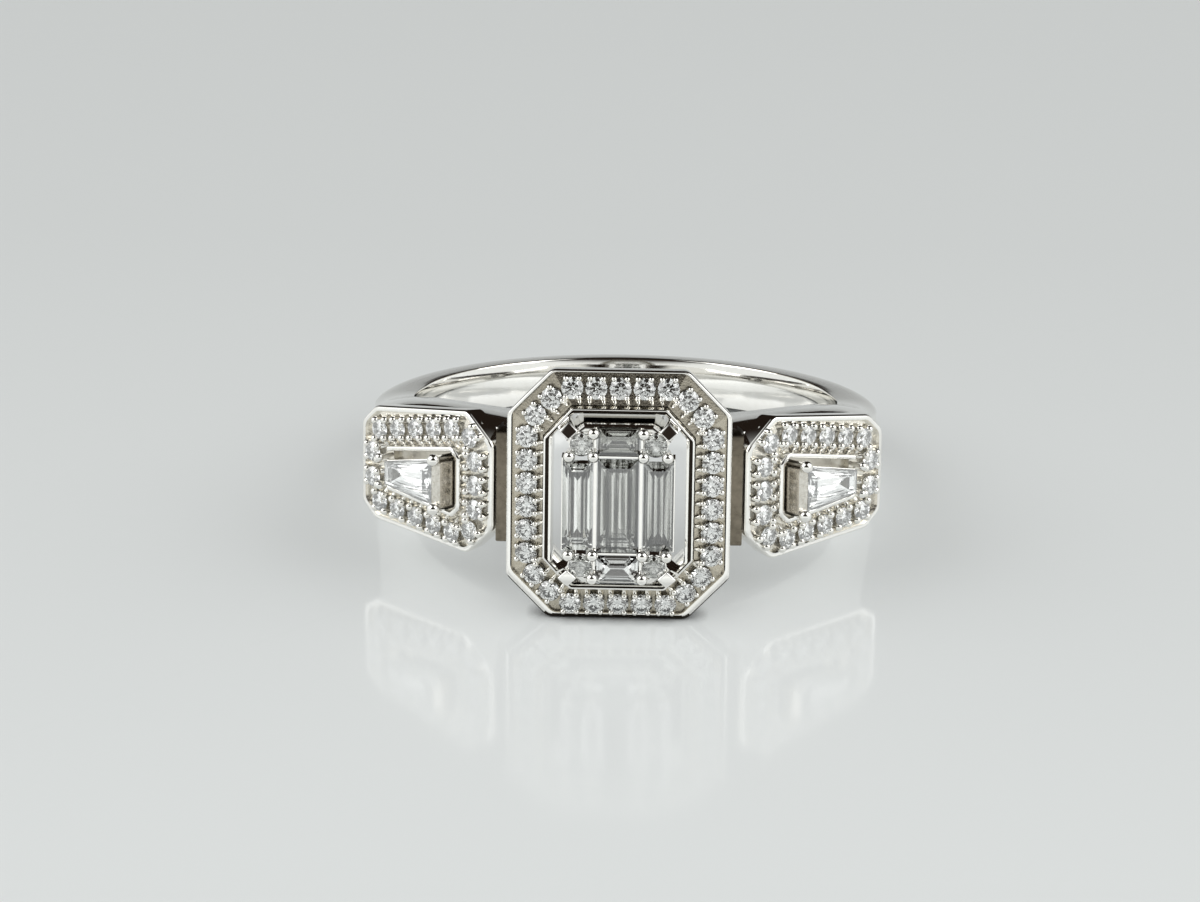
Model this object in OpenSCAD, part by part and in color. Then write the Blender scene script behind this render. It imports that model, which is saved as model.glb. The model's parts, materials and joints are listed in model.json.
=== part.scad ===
// Halo ring lying on its side: a cut-corner halo round a cluster of five baguettes and four brilliants,
// with a paved panel and a tapered baguette on each shoulder.
// Each piece is drawn in the ring's own frame: the finger axis along Z, the head towards -Y.
// lay_down() then leans the ring to the way it rests, on its halo and on the back of the band.

/* [Band] */
// Inner diameter of the finger hole
finger_d = 17; // [16.6:0.1:17.6]
// Thickness of the band at the back
band_t = 1.6; // [1.3:0.1:1.8]
// Width of the band at the back, along the finger
band_w = 1.88; // [1.7:0.02:2.2]
// Width of the shoulders beside the halo, along the finger
shoulder_w = 4.5; // [4.2:0.1:4.8]
// Share of the band's width that its rounded top and bottom take, each
dome = 0.31; // [0.2:0.01:0.4]

/* [Halo] */
// Height of the halo's outer rim above the finger hole
halo_rise = 3.58; // [3.4:0.02:3.8]
// Width of the halo
halo_w = 8.28; // [8.2:0.02:8.4]
// Height of the halo, along the finger
halo_h = 9.56; // [9.5:0.02:9.8]
// Width that each cut corner takes off the halo
halo_cut_w = 1.6; // [1.5:0.05:1.7]
// Height that each cut corner takes off the halo
halo_cut_h = 1.64; // [1.5:0.02:1.8]
// Depth of the halo's outer wall
halo_wall = 0.9; // [0.8:0.05:1]
// Width of the halo's inner rim, measured outside
inner_w = 5.66; // [5.6:0.02:5.8]
// Height of the halo's inner rim, measured outside
inner_h = 6.88; // [6.8:0.02:7]
// Width that each cut corner takes off the inner rim
inner_cut_w = 1.05; // [1:0.05:1.1]
// Height that each cut corner takes off the inner rim
inner_cut_h = 1.17; // [1.1:0.01:1.2]
// Height of the inner rim above the outer rim
inner_rise = 0.55; // [0.5:0.05:0.6]
// Width of the opening round the cluster
opening_w = 5; // [4.9:0.02:5.2]
// Height of the opening round the cluster
opening_h = 6.46; // [6.4:0.02:6.5]

/* [Centre cluster] */
// Height of the cluster's tables above the outer rim
table_rise = 1.5; // [1.4:0.05:1.6]
// Place of the cluster's middle along the finger
cluster_v = -0.08; // [-0.1:0.02:0]
// Width of the centre long baguette
centre_w = 1.52; // [1.48:0.02:1.54]
// Length of the centre long baguette
centre_len = 3.58; // [3.5:0.02:3.6]
// Width of each side long baguette
flank_w = 1.12; // [1.06:0.02:1.14]
// Length of each side long baguette
flank_len = 3.44; // [3.36:0.02:3.5]
// Width of each short baguette
short_w = 1.56; // [1.5:0.02:1.58]
// Height of each short baguette, along the finger
short_h = 1.08; // [1.04:0.02:1.1]
// Diameter of each corner brilliant
round_d = 0.84; // [0.8:0.02:0.86]

/* [Side panels] */
// Angle from the head to the middle of each side panel
panel_angle = 39.3; // [38.8:0.1:40]
// Height of each panel's rim above the finger hole
panel_rise = 3.3; // [3.2:0.05:3.4]
// Length of each panel, round the finger
panel_len = 6.78; // [6.7:0.02:6.8]
// Height of each panel at its inner end, with its corners uncut
panel_inner_h = 5.86; // [5.8:0.02:5.9]
// Height of each panel at its outer end, with its corners uncut
panel_outer_h = 4.32; // [4.3:0.02:4.4]

/* [Hidden] */
$fn = 64;

// Colours of polished white gold, diamond and the paved surface
gold_colour = [0.80, 0.79, 0.76];
stone_colour = [0.86, 0.90, 0.93];
pave_colour = [0.70, 0.72, 0.72];

// Small gap left beside a stone
gap = 0.04;
// Overlap of shapes that are joined into one solid
lap = 0.2;
// Height of a thin slice that a stone is drawn through
slice = 0.004;

// Shank
finger_r = finger_d / 2;
band_r = finger_r + band_t;
shank_r_in = finger_r - 0.4;
shoulder_front = finger_r + 2.55;
shoulder_corner_u = 4.66;
shoulder_under = finger_r + 2.4;
// Angle from the head at which the straight shoulders meet the round band
shoulder_end = 84;
// Radial depth of the rounded edges, at the head and on the band
dome_r_head = 0.9;
dome_r_band = band_t - 0.02;
dome_head = 0.08;
arc_steps = 6;
band_steps = 22;
// How much of the shoulders' extra width is left at each place along Y
WIDENING = [[-8, 1], [-6, 0.9], [-4, 0.67], [-2.5, 0.42], [-1.2, 0.21], [0, 0.08], [1.5, 0.02], [3, 0]];

// Halo
halo_face = finger_r + halo_rise;
rim_t = 0.16;
wall_draft = 0.12;
bed_outer = -0.1;
bed_inner = 0.2;
opening_cut_w = 0.8;
opening_cut_h = 0.9;
// How far the opening is cut past the faces it joins
opening_reach = 1;
gallery_wall = 0.55;
gallery_depth = 2.1;

// Paved surfaces stand a little above their beds
pave_low = 0.03;
pave_high = 0.16;
pave_side_gap = 0.05;

// Stones
crown_h = 0.15;
girdle_h = 0.05;
pavilion_h = 0.52;
girdle_top = table_rise - crown_h;
stone_low = girdle_top - girdle_h;
flank_u = centre_w / 2 + 0.19 + flank_w / 2;
short_v = centre_len / 2 + 0.13 + short_h / 2;
round_u = 1.38;
round_v = 2.33;

// Basket under the cluster
basket_top = stone_low - 0.1;
basket_low = 0.4;
basket_half_u = 2.1;
basket_half_v = 3;
basket_cut_u = 0.48;
basket_cut_v = 0.53;
seat = 0.04;
claw_u = 1.86;
claw_v = 2.78;
claw_side = 0.42;
claw_top = table_rise + 0.02;
claw_tip = 0.2;
// The bridge that joins each claw to the inner rim: its reach past the claw and its top
bridge_reach = 0.12;
bridge_top = 0.48;
prong_r = 0.12;
ball_r = 0.205;
ball_w = table_rise + 0.02;
// Places of the ball prongs in one quarter of the cluster: across, along the finger
PRONGS = [[0.93, 2.77], [0.93, 1.89], [1.83, 1.89]];

// Side panels
panel_face = finger_r + panel_rise;
panel_in = -panel_len / 2 - 0.04;
panel_out = panel_len / 2 - 0.04;
panel_wall = 0.9;
panel_draft = 0.08;
panel_cut_in = [1.29, 1.1];
panel_cut_out = [0.7, 0.65];
panel_bed_outer = -0.1;
panel_bed_inner = 0.12;
panel_bed_run = 1;
// The C-shaped inner rim: half heights at its closed and open ends, and its ends
c_in = -2.1;
c_out = 1.65;
c_half_in = 1.4;
c_half_out = 0.88;
c_corner = 0.38;
c_rim_t = 0.16;
c_rise = 0.4;
// Width left of the rim on each side of its open end
c_end = 0.2;
recess = -0.2;
// The tapered baguette and its setting
taper_in = -1.25;
taper_out = 1.2;
taper_half_in = 0.9;
taper_half_out = 0.45;
taper_table = 1.15;
taper_girdle = taper_table - crown_h;
taper_low = taper_girdle - girdle_h;
end_bar_t = 0.38;
// Walls of the open box under the tapered baguette, and how far below the girdle they stop
taper_wall = 0.11;
taper_end = 0.14;
taper_drop = 0.25;
// Ball prongs of the tapered baguette: away from the halo, along the finger, height, post radius, ball radius
TAPER_PRONGS = [
    [taper_in - 0.17, taper_half_in + 0.08, taper_table - 0.04, 0.12, 0.16],
    [taper_in - 0.46, taper_half_in + 0.08, taper_table - 0.12, 0.12, 0.16],
    [taper_out + 0.3, taper_half_out + 0.09, taper_table - 0.1, 0.1, 0.14]
];

// Resting lean: the floor touches the lower back edge of the halo's wall and the band's rounded edge
foot_y = -(halo_face - halo_wall);
foot_z = -(halo_h / 2 - wall_draft);
heel_y = band_r - dome_r_band;
heel_z = -band_w / 2 * (1 - dome);

// How far the band's rounded edge reaches past the middle of its arc, across a floor at angle t
function heel_reach(t) = norm([dome_r_band * sin(t), band_w / 2 * dome * cos(t)]);

// Comes closer to the resting angle at each call
function lean_from(t, calls) =
    calls == 0
    ? t
    : lean_from(atan((heel_z - foot_z - heel_reach(t) / cos(t)) / (heel_y - foot_y)), calls - 1);

lean = lean_from(10, 6);
lift = foot_y * sin(lean) - foot_z * cos(lean);
// Sets the middle of the resting ring's depth over the origin
front_y = -(halo_face + claw_top + claw_tip) * cos(lean) - (claw_v - cluster_v) * sin(lean);
back_reach = norm([dome_r_band * cos(lean), band_w / 2 * dome * sin(lean)]);
back_y = heel_y * cos(lean) - heel_z * sin(lean) + back_reach;
centre_y = (front_y + back_y) / 2;

// Leans the ring to the way it rests on the floor
module lay_down() {
    translate([0, -centre_y, lift])
        rotate([-lean, 0, 0])
            children();
}

// Puts a shape drawn flat on the halo's face: X across, Y along the finger, Z outwards
module on_halo() {
    translate([0, -halo_face, 0])
        rotate([90, 0, 0])
            children();
}

// The same for the cluster, whose middle is a little off the halo's
module on_cluster() {
    on_halo()
        translate([0, cluster_v, 0])
            children();
}

// Puts a shape drawn flat on the right panel's face: X away from the halo, Y along the finger, Z outwards
module on_right_panel() {
    rotate([0, 0, panel_angle])
        translate([0, -panel_face, 0])
            rotate([90, 0, 0])
                children();
}

// The same for either panel: side is 1 for the right one and -1 for the left one
module on_panel(side) {
    if (side > 0)
        on_right_panel()
            children();
    else
        mirror([1, 0, 0])
            on_right_panel()
                children();
}

// Corner points of a rectangle with cut corners
function cut_rect(w, h, cw, ch) = [
    [w / 2, h / 2 - ch],
    [w / 2 - cw, h / 2],
    [cw - w / 2, h / 2],
    [-w / 2, h / 2 - ch],
    [-w / 2, ch - h / 2],
    [cw - w / 2, -h / 2],
    [w / 2 - cw, -h / 2],
    [w / 2, ch - h / 2]
];

// Corner points of a panel outline that narrows away from the halo
function panel_rect() =
    let (
        slope = (panel_inner_h - panel_outer_h) / 2 / (panel_out - panel_in),
        near = panel_inner_h / 2 - slope * panel_cut_in[0],
        far = panel_outer_h / 2 + slope * panel_cut_out[0]
    )
    [
        [panel_out, far - panel_cut_out[1]],
        [panel_out - panel_cut_out[0], far],
        [panel_in + panel_cut_in[0], near],
        [panel_in, near - panel_cut_in[1]],
        [panel_in, panel_cut_in[1] - near],
        [panel_in + panel_cut_in[0], -near],
        [panel_out - panel_cut_out[0], -far],
        [panel_out, panel_cut_out[1] - far]
    ];

// Unit normal of the side that runs from a to b, pointing inwards for points that turn to the left
function inward(a, b) = let (d = b - a) [-d[1], d[0]] / norm(d);

// The point that lies inset d inside both sides that meet at b
function inset_corner(a, b, c, d) =
    let (
        n = inward(a, b),
        m = inward(b, c)
    )
    b + (n + m) * d / (1 + n * m);

// A convex outline drawn in by d all round
function inset(points, d) = [
    for (i = [0 : len(points) - 1])
        inset_corner(
            points[(i + len(points) - 1) % len(points)],
            points[i],
            points[(i + 1) % len(points)],
            d
        )
];

// Adds a height to each point of a flat outline
function at_height(points, z) = [for (p = points) [p[0], p[1], z]];

// A solid between two outlines with as many corners, at heights z0 and z1
module frustum(low, z0, high, z1) {
    n = len(low);
    polyhedron(
        points = concat(at_height(low, z0), at_height(high, z1)),
        faces = concat(
            [[for (i = [0 : n - 1]) i]],
            [[for (i = [0 : n - 1]) 2 * n - 1 - i]],
            [for (i = [0 : n - 1]) [i, n + i, n + (i + 1) % n, (i + 1) % n]]
        ),
        convexity = 4
    );
}

// A straight prism over an outline
module prism(points, z0, z1) {
    translate([0, 0, z0])
        linear_extrude(height = z1 - z0)
            polygon(points);
}

halo_outline = cut_rect(halo_w, halo_h, halo_cut_w, halo_cut_h);
inner_outline = cut_rect(inner_w, inner_h, inner_cut_w, inner_cut_h);
opening_outline = cut_rect(opening_w, opening_h, opening_cut_w, opening_cut_h);
panel_outline = panel_rect();

// The C-shaped rim's outline, open end included
c_outline = [
    [c_out, c_half_out],
    [c_in + c_corner, c_half_in],
    [c_in, c_half_in - c_corner],
    [c_in, c_corner - c_half_in],
    [c_in + c_corner, -c_half_in],
    [c_out, -c_half_out]
];

// Angles from the head of the corners of the shoulder's outline
corner_angle = atan(shoulder_corner_u / shoulder_front);
tuck_angle = corner_angle + 1.6;
under_angle = shoulder_end - acos(0.886);

// Angles from the head of the shank's cross-sections on one side
side_angles = concat(
    [0, 8, 16, corner_angle, tuck_angle],
    [for (i = [1 : 4]) tuck_angle + (under_angle - tuck_angle) * i / 4],
    [for (i = [1 : band_steps]) under_angle + (180 - under_angle) * i / band_steps]
);
last_angle = len(side_angles) - 1;
section_angles = concat(side_angles, [for (i = [1 : last_angle - 1]) 360 - side_angles[last_angle - i]]);

// Angle from the head, the same on both sides
function fold(a) = a > 180 ? 360 - a : a;

// Outer radius of the shank at an angle from the head
function shank_r(a) =
    a <= corner_angle
    ? shoulder_front / cos(a)
    : a <= under_angle
    ? shoulder_under / cos(a - panel_angle)
    : a <= shoulder_end
    ? band_r / cos(shoulder_end - a)
    : band_r;

// Half width of the shank at an angle from the head
function shank_half(a) =
    band_w / 2 + (shoulder_w - band_w) / 2 * lookup(-(finger_r + band_t / 2) * cos(a), WIDENING);

// One cross-section of the shank, as radius and height, with a rounded top and bottom
function section(a) =
    let (
        half = shank_half(a),
        r = shank_r(a),
        turn = max(0, min(1, (a - tuck_angle) / (under_angle - tuck_angle))),
        dr = dome_r_head + (dome_r_band - dome_r_head) * turn,
        dz = half * (dome_head + (dome - dome_head) * turn),
        top = [
            for (j = [0 : arc_steps])
                let (t = 90 * j / arc_steps)
                [r - dr + dr * sin(t), half - dz + dz * cos(t)]
        ]
    )
    concat(
        [[shank_r_in, -half]],
        [for (p = top) [p[0], -p[1]]],
        [for (j = [0 : arc_steps]) top[arc_steps - j]],
        [[shank_r_in, half]]
    );

// Shank and shoulders: one ring of cross-sections round the finger, wide and straight by the head
module shank() {
    sections = len(section_angles);
    sides = 2 * arc_steps + 4;
    polyhedron(
        points = [
            for (a = section_angles)
                for (p = section(fold(a)))
                    [p[0] * sin(a), -p[0] * cos(a), p[1]]
        ],
        faces = [
            for (i = [0 : sections - 1])
                for (j = [0 : sides - 1])
                    for (half = [0, 1])
                        let (
                            here = i * sides,
                            next = (i + 1) % sections * sides,
                            up = (j + 1) % sides
                        )
                        half == 0
                        ? [here + j, here + up, next + up]
                        : [here + j, next + up, next + j]
        ],
        convexity = 8
    );
}

// Halo: wall, outer rim, sloping bed and inner rim, and the gallery wall behind them
module halo_frame() {
    on_halo()
        union() {
            difference() {
                frustum(inset(halo_outline, wall_draft), -halo_wall, halo_outline, 0);
                prism(inset(halo_outline, rim_t), bed_outer, lap);
            }
            frustum(inset(halo_outline, rim_t - 0.02), bed_outer, inset(inner_outline, -0.02), bed_inner);
            prism(inner_outline, bed_outer - lap, inner_rise);
            prism(inset(opening_outline, -gallery_wall), -gallery_depth, -halo_wall + lap);
        }
}

// The opening behind the cluster, from the inner rim to the finger hole
module halo_opening() {
    on_halo()
        prism(opening_outline, -(halo_rise + opening_reach), inner_rise + opening_reach);
}

// Side panel: wall, outer rim, sloping bed, C-shaped rim and the recess inside it
module panel_frame() {
    difference() {
        union() {
            difference() {
                frustum(inset(panel_outline, panel_draft), -panel_wall, panel_outline, 0);
                prism(inset(panel_outline, rim_t), panel_bed_outer, lap);
            }
            frustum(
                inset(panel_outline, rim_t - 0.02),
                panel_bed_outer,
                inset(panel_outline, panel_bed_run),
                panel_bed_inner
            );
            prism(c_outline, panel_bed_outer - lap, c_rise);
        }
        prism(inset(c_outline, c_rim_t), recess, c_rise + lap);
        translate([c_out - c_rim_t - lap, c_end - c_half_out, panel_bed_inner])
            cube([1, 2 * (c_half_out - c_end), 1]);
    }
}

// A post with a ball tip, drawn at the place given in the face's plane
module ball_prong(place, low, high, post_r, tip_r) {
    translate([place[0], place[1], low])
        cylinder(r = post_r, h = high - low);
    translate([place[0], place[1], high])
        sphere(r = tip_r);
}

// A square post that faces its corner, with a pyramid tip and a bridge to the inner rim.
// u and v choose the corner
module square_claw(u, v, low) {
    translate([u * claw_u, v * claw_v, 0]) {
        rotate([0, 0, atan2(v, u)])
            translate([-claw_side / 2, -claw_side / 2, low]) {
                cube([claw_side, claw_side, claw_top - low]);
                cube([claw_side + bridge_reach, claw_side, bridge_top - low]);
            }
        translate([0, 0, claw_top - 0.02])
            cylinder(r1 = claw_side / sqrt(2) - 0.005, r2 = 0.02, h = claw_tip + 0.02, $fn = 4);
    }
}

// Open basket under the cluster, with a seat for each stone, corner claws and ball prongs
module basket() {
    rail_in = centre_w / 2 - seat;
    flank_in = flank_u - flank_w / 2 + seat;
    flank_out = flank_u + flank_w / 2 - 1.5 * seat;
    on_cluster() {
        difference() {
            prism(
                cut_rect(2 * basket_half_u, 2 * basket_half_v, basket_cut_u, basket_cut_v),
                basket_low,
                basket_top
            );
            translate([-rail_in, -centre_len / 2 + seat, basket_low - 1])
                cube([2 * rail_in, centre_len - 2 * seat, 3]);
            for (u = [-1, 1]) {
                translate([u > 0 ? flank_in : -flank_out, -flank_len / 2 + seat, basket_low - 1])
                    cube([flank_out - flank_in, flank_len - 2 * seat, 3]);
                translate([-short_w / 2 + seat, u * short_v - short_h / 2 + seat, basket_low - 1])
                    cube([short_w - 2 * seat, short_h - 2 * seat, 3]);
                for (v = [-1, 1])
                    translate([u * round_u, v * round_v, basket_low - 1])
                        cylinder(r = round_d / 2 - seat, h = 3);
            }
        }
        for (u = [-1, 1])
            for (v = [-1, 1]) {
                square_claw(u, v, -halo_wall);
                for (p = PRONGS)
                    ball_prong([u * p[0], v * p[1]], basket_low, ball_w, prong_r, ball_r);
            }
    }
}

// Setting of the tapered baguette: tapering box, end bar and prongs
module taper_setting() {
    wide = taper_half_in - seat;
    narrow = taper_half_out - seat;
    box = [
        [taper_out - seat, narrow],
        [taper_in - gap - end_bar_t, wide],
        [taper_in - gap - end_bar_t, -wide],
        [taper_out - seat, -narrow]
    ];
    difference() {
        prism(box, recess - lap, taper_low - taper_drop);
        prism(
            [
                [taper_out - taper_end, narrow - taper_wall],
                [taper_in + taper_end, wide - taper_wall],
                [taper_in + taper_end, taper_wall - wide],
                [taper_out - taper_end, taper_wall - narrow]
            ],
            recess,
            taper_table
        );
    }
    translate([taper_in - gap - end_bar_t, -wide, recess - lap])
        cube([end_bar_t, 2 * wide, taper_girdle - recess + lap]);
    for (v = [-1, 1])
        for (p = TAPER_PRONGS)
            ball_prong([p[0], v * p[1]], recess - lap, p[2], p[3], p[4]);
}

// The soldered piece: everything of metal
module mounting() {
    color(gold_colour)
        lay_down() {
            difference() {
                union() {
                    shank();
                    halo_frame();
                    for (side = [-1, 1])
                        on_panel(side)
                            panel_frame();
                }
                cylinder(r = finger_r, h = 4 * shoulder_w, center = true);
                halo_opening();
            }
            basket();
            for (side = [-1, 1])
                on_panel(side)
                    taper_setting();
        }
}

// Paved surface of the halo, over its sloping bed
module halo_pave() {
    low = inset(halo_outline, rim_t);
    high = inner_outline;
    color(pave_colour)
        lay_down()
            on_halo()
                intersection() {
                    difference() {
                        frustum(low, bed_outer + pave_high, high, bed_inner + pave_high);
                        frustum(low, bed_outer + pave_low, high, bed_inner + pave_low);
                        prism(low, -1, bed_outer + pave_low);
                    }
                    difference() {
                        prism(inset(halo_outline, rim_t + pave_side_gap), -1, 1);
                        prism(inset(inner_outline, -pave_side_gap), -1.5, 1.5);
                    }
                }
}

// Paved surface of one side panel
module side_pave(side) {
    low = inset(panel_outline, rim_t);
    high = inset(panel_outline, panel_bed_run);
    color(pave_colour)
        lay_down()
            on_panel(side)
                intersection() {
                    difference() {
                        frustum(low, panel_bed_outer + pave_high, high, panel_bed_inner + pave_high);
                        frustum(low, panel_bed_outer + pave_low, high, panel_bed_inner + pave_low);
                        prism(low, -1, panel_bed_outer + pave_low);
                    }
                    difference() {
                        prism(inset(panel_outline, rim_t + pave_side_gap), -1, 1);
                        prism(inset(c_outline, -pave_side_gap), -1.5, 1.5);
                    }
                }
}

// A step-cut stone over a four-cornered outline: table, two crown steps, girdle, pavilion step and keel
module step_cut(outline, table_z) {
    girdle_z = table_z - crown_h;
    color(stone_colour)
        hull() {
            prism(inset(outline, 0.24), table_z - slice, table_z);
            prism(inset(outline, 0.13), table_z - 0.07, table_z - 0.07 + slice);
            prism(outline, girdle_z - girdle_h, girdle_z);
            prism(inset(outline, 0.2), girdle_z - 0.3, girdle_z - 0.3 + slice);
            prism(inset(outline, 0.4), girdle_z - pavilion_h, girdle_z - pavilion_h + slice);
        }
}

// Outline of a straight baguette
function bar(w, h) = [[w / 2, -h / 2], [w / 2, h / 2], [-w / 2, h / 2], [-w / 2, -h / 2]];

// One stone of the cluster, moved to its place on the halo's face
module cluster_baguette(place, w, h) {
    lay_down()
        on_cluster()
            translate([place[0], place[1], 0])
                step_cut(bar(w, h), table_rise);
}

// A round brilliant: table, star points, girdle, pavilion and culet
module brilliant(d) {
    r = d / 2;
    color(stone_colour)
        hull() {
            translate([0, 0, crown_h - slice])
                cylinder(r = 0.56 * r, h = slice, $fn = 8);
            rotate([0, 0, 22.5])
                translate([0, 0, 0.55 * crown_h])
                    cylinder(r = 0.81 * r, h = slice, $fn = 8);
            translate([0, 0, -0.03])
                cylinder(r = r, h = 0.03, $fn = 16);
            rotate([0, 0, 22.5])
                translate([0, 0, -0.25])
                    cylinder(r = 0.4 * r, h = slice, $fn = 8);
            translate([0, 0, -0.36])
                cylinder(r = 0.03 * r, h = slice, $fn = 8);
        }
}

// One brilliant of the cluster: u and v choose its corner
module cluster_round(u, v) {
    lay_down()
        on_cluster()
            translate([u * round_u, v * round_v, table_rise - crown_h - 0.02])
                brilliant(round_d);
}

// The tapered baguette of one side panel, wide end towards the halo
module tapered_baguette(side) {
    outline = [
        [taper_out, -taper_half_out],
        [taper_out, taper_half_out],
        [taper_in, taper_half_in],
        [taper_in, -taper_half_in]
    ];
    lay_down()
        on_panel(side)
            step_cut(outline, taper_table);
}

mounting();
halo_pave();
side_pave(-1);  // side_pave_left
side_pave(1);  // side_pave_right
cluster_baguette([0, 0], centre_w, centre_len);  // long_baguette_centre
cluster_baguette([-flank_u, 0], flank_w, flank_len);  // long_baguette_left
cluster_baguette([flank_u, 0], flank_w, flank_len);  // long_baguette_right
cluster_baguette([0, short_v], short_w, short_h);  // short_baguette_top
cluster_baguette([0, -short_v], short_w, short_h);  // short_baguette_bottom
cluster_round(-1, 1);  // round_top_left
cluster_round(1, 1);  // round_top_right
cluster_round(-1, -1);  // round_bottom_left
cluster_round(1, -1);  // round_bottom_right
tapered_baguette(-1);  // tapered_baguette_left
tapered_baguette(1);  // tapered_baguette_right
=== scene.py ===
"""Looks of the halo ring: polished white gold, diamonds and a pale studio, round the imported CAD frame.

Shapes are drawn in millimetres, in one of three places:
  ring   x across, y from the halo towards the back of the band, z along the finger
  halo   u across, v along the finger, w outwards from the halo's outer rim
  panel  s along a side panel away from the halo, v along the finger, w outwards from its outer rim
and each is carried to the frame of the ring as it lies, in metres.
"""

import json
import math

import bmesh
import bpy
from mathutils import Matrix, Vector


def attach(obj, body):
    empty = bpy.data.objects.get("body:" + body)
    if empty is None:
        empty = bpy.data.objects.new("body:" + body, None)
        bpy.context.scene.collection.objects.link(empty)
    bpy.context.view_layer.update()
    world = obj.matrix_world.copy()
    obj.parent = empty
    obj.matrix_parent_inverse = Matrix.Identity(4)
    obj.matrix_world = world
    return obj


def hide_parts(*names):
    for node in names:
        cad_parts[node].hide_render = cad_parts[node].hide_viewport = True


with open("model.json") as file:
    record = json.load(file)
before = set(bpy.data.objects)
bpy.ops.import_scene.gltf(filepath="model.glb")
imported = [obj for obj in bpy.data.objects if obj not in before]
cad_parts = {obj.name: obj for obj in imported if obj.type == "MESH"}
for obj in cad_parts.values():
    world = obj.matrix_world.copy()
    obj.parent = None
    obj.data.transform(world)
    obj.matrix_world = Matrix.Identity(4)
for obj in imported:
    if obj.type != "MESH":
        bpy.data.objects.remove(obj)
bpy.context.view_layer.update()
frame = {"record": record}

MM = 0.001

# The resting lean and place come from the finger hole stated in the frame.
HOLE = frame["record"]["mounts"][0]
AXIS = Vector(HOLE["axis"])
LEAN = math.atan2(AXIS.y, AXIS.z)
RING = Matrix.Translation(Vector(HOLE["pos_m"])) @ Matrix.Rotation(-LEAN, 4, "X")

# Shank, in mm
FINGER_R = HOLE["dims"]["r_mm"]
BAND_T = 1.6
BAND_R = FINGER_R + BAND_T
BAND_HALF = 0.94
BAND_STEPS = 56
# Rounding of the edges of the finger hole
HOLE_EDGE = 0.08
# Shoulders: half their width, and the distance from the finger's middle of their front and of the flat under
# a side panel; the corner between these lies SHOULDER_CORNER_U across
SHOULDER_HALF = 2.25
SHOULDER_FRONT = FINGER_R + 2.55
SHOULDER_CORNER_U = 4.66
SHOULDER_UNDER = FINGER_R + 2.4
SHOULDER_STEPS = 6
# Degrees round the finger: where the shoulders end, how long before it the flat under the panel does, how far
# past the corner that flat starts, and how far before the corner the first cross-section lies
SHOULDER_END = 84.0
SHOULDER_TURN = math.degrees(math.acos(0.886))
SHOULDER_TUCK = 1.6
FIRST_SECTION = 2.5
# Rounding of the outside, at the band and by the head: its share of the half width, and its depth
DOME = 0.31
DOME_HEAD = 0.08
DOME_R_BAND = BAND_T - 0.02
DOME_R_HEAD = 0.9
# Half the width of the space behind the cluster, between the shoulders' ends
TUNNEL_SIDE = 2.64
# How much of the shoulders' extra width is left at each place along y
WIDENING = [(-8, 1), (-6, 0.9), (-4, 0.67), (-2.5, 0.42), (-1.2, 0.21), (0, 0.08), (1.5, 0.02), (3, 0)]

# Halo, in mm
HALO_FACE = FINGER_R + 3.58
HALO_WALL = 0.9
INNER_V = -0.05
INNER_RISE = 0.55
INNER_CORNER_R = 0.2
GROOVE_DEPTH = 0.14
LIP_T = 0.075
RIM_T = 0.16
RIM_LAP = 0.03
ROUND_EDGE = 0.14
CORNER_R = 0.45
BED_OUTER = -0.1
BED_INNER = 0.2
# How far the bed runs under the rims, and how much it draws in at the back
BED_LAP = 0.03
BED_BACK = 0.1
# Faces of the rim that point down by more than this get painted shade, for the floor's shadow close under
# them: along the lower edge, and at corners
UNDERSIDE_SHADE_EDGE = 0.1
UNDERSIDE_SHADE_CORNER = 0.38
GALLERY_WALL = 0.55
GALLERY_DEPTH = 2.1

# Cluster, in mm; it stands a little off the halo's middle
CLUSTER_V = -0.08
TABLE_RISE = 1.5
CENTRE_SIZE = (1.52, 3.58)
FLANK_SIZE = (1.12, 3.44)
SHORT_SIZE = (1.56, 1.08)
ROUND_D = 0.84
ROUND_DROP = 0.15
FLANK_U = 1.51
SHORT_V = 2.46
ROUND_PLACE = (1.38, 2.33)
CLAW_PLACE = (1.86, 2.78)
UPPER_CLAW_RISE = 0.09
CLAW_U = 0.37
CLAW_V = 0.33
CLAW_EDGE = 0.065
CLAW_RISE = 0.03
UPPER_CLAW_LEAN = 0.55
LOWER_CLAW_LEAN = -0.06
# Bridges from the claws to the inner rim: their way out, and (reach, half width, height) along it
CORNER_WAY = (0.744, 0.668)
BRIDGE_STEPS = [(-0.2, 0.28, 1.06), (0.08, 0.29, 0.82), (0.34, 0.31, 0.6)]
BRIDGE_FOOT = 0.1
CORNERS = [(-1, -1), (-1, 1), (1, -1), (1, 1)]
PRONGS = [(0.93, 2.77), (0.93, 1.89), (1.83, 1.89)]
BALL_R = 0.225
PRONG_R = 0.12
PRONG_LENGTH = 0.95
# Long and short stones: angles of the pavilion's steps, and the share of what they take that the ends take
CENTRE_CUT = ((50.8, 43.8, 46.9), 1.2)
LEFT_CUT = ((44.3, 50.5, 30.0), 1.45)
RIGHT_CUT = ((44.6, 40.4, 32.9), 1.25)
TOP_CUT = ((42, 40, 38), 1.0)
BOTTOM_CUT = ((44, 42, 40), 1.0)
TAPER_CUT = ((47.5, 45, 43), 1.2)
# Steps of a crown, as (inwards, height), and the share of the half width that each pavilion step takes
CROWN_STEPS = [(0.33, 0.0), (0.24, -0.05), (0.12, -0.11), (0.0, -0.16), (0.0, -0.19)]
PAVILION_SHARES = (0.27, 0.3, 0.42)

# Side panels, in mm
PANEL_ANGLE = math.radians(39.3)
PANEL_FACE = FINGER_R + 3.3
PANEL_IN = -3.43
PANEL_OUT = 3.35
PANEL_INNER_H = 5.86
PANEL_OUTER_H = 4.32
PANEL_CUT_IN = (1.29, 1.1)
PANEL_CUT_OUT = (0.7, 0.65)
PANEL_WALL = 0.9
PANEL_BED_RUN = 1.0
PANEL_BED_INNER = 0.12
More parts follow.
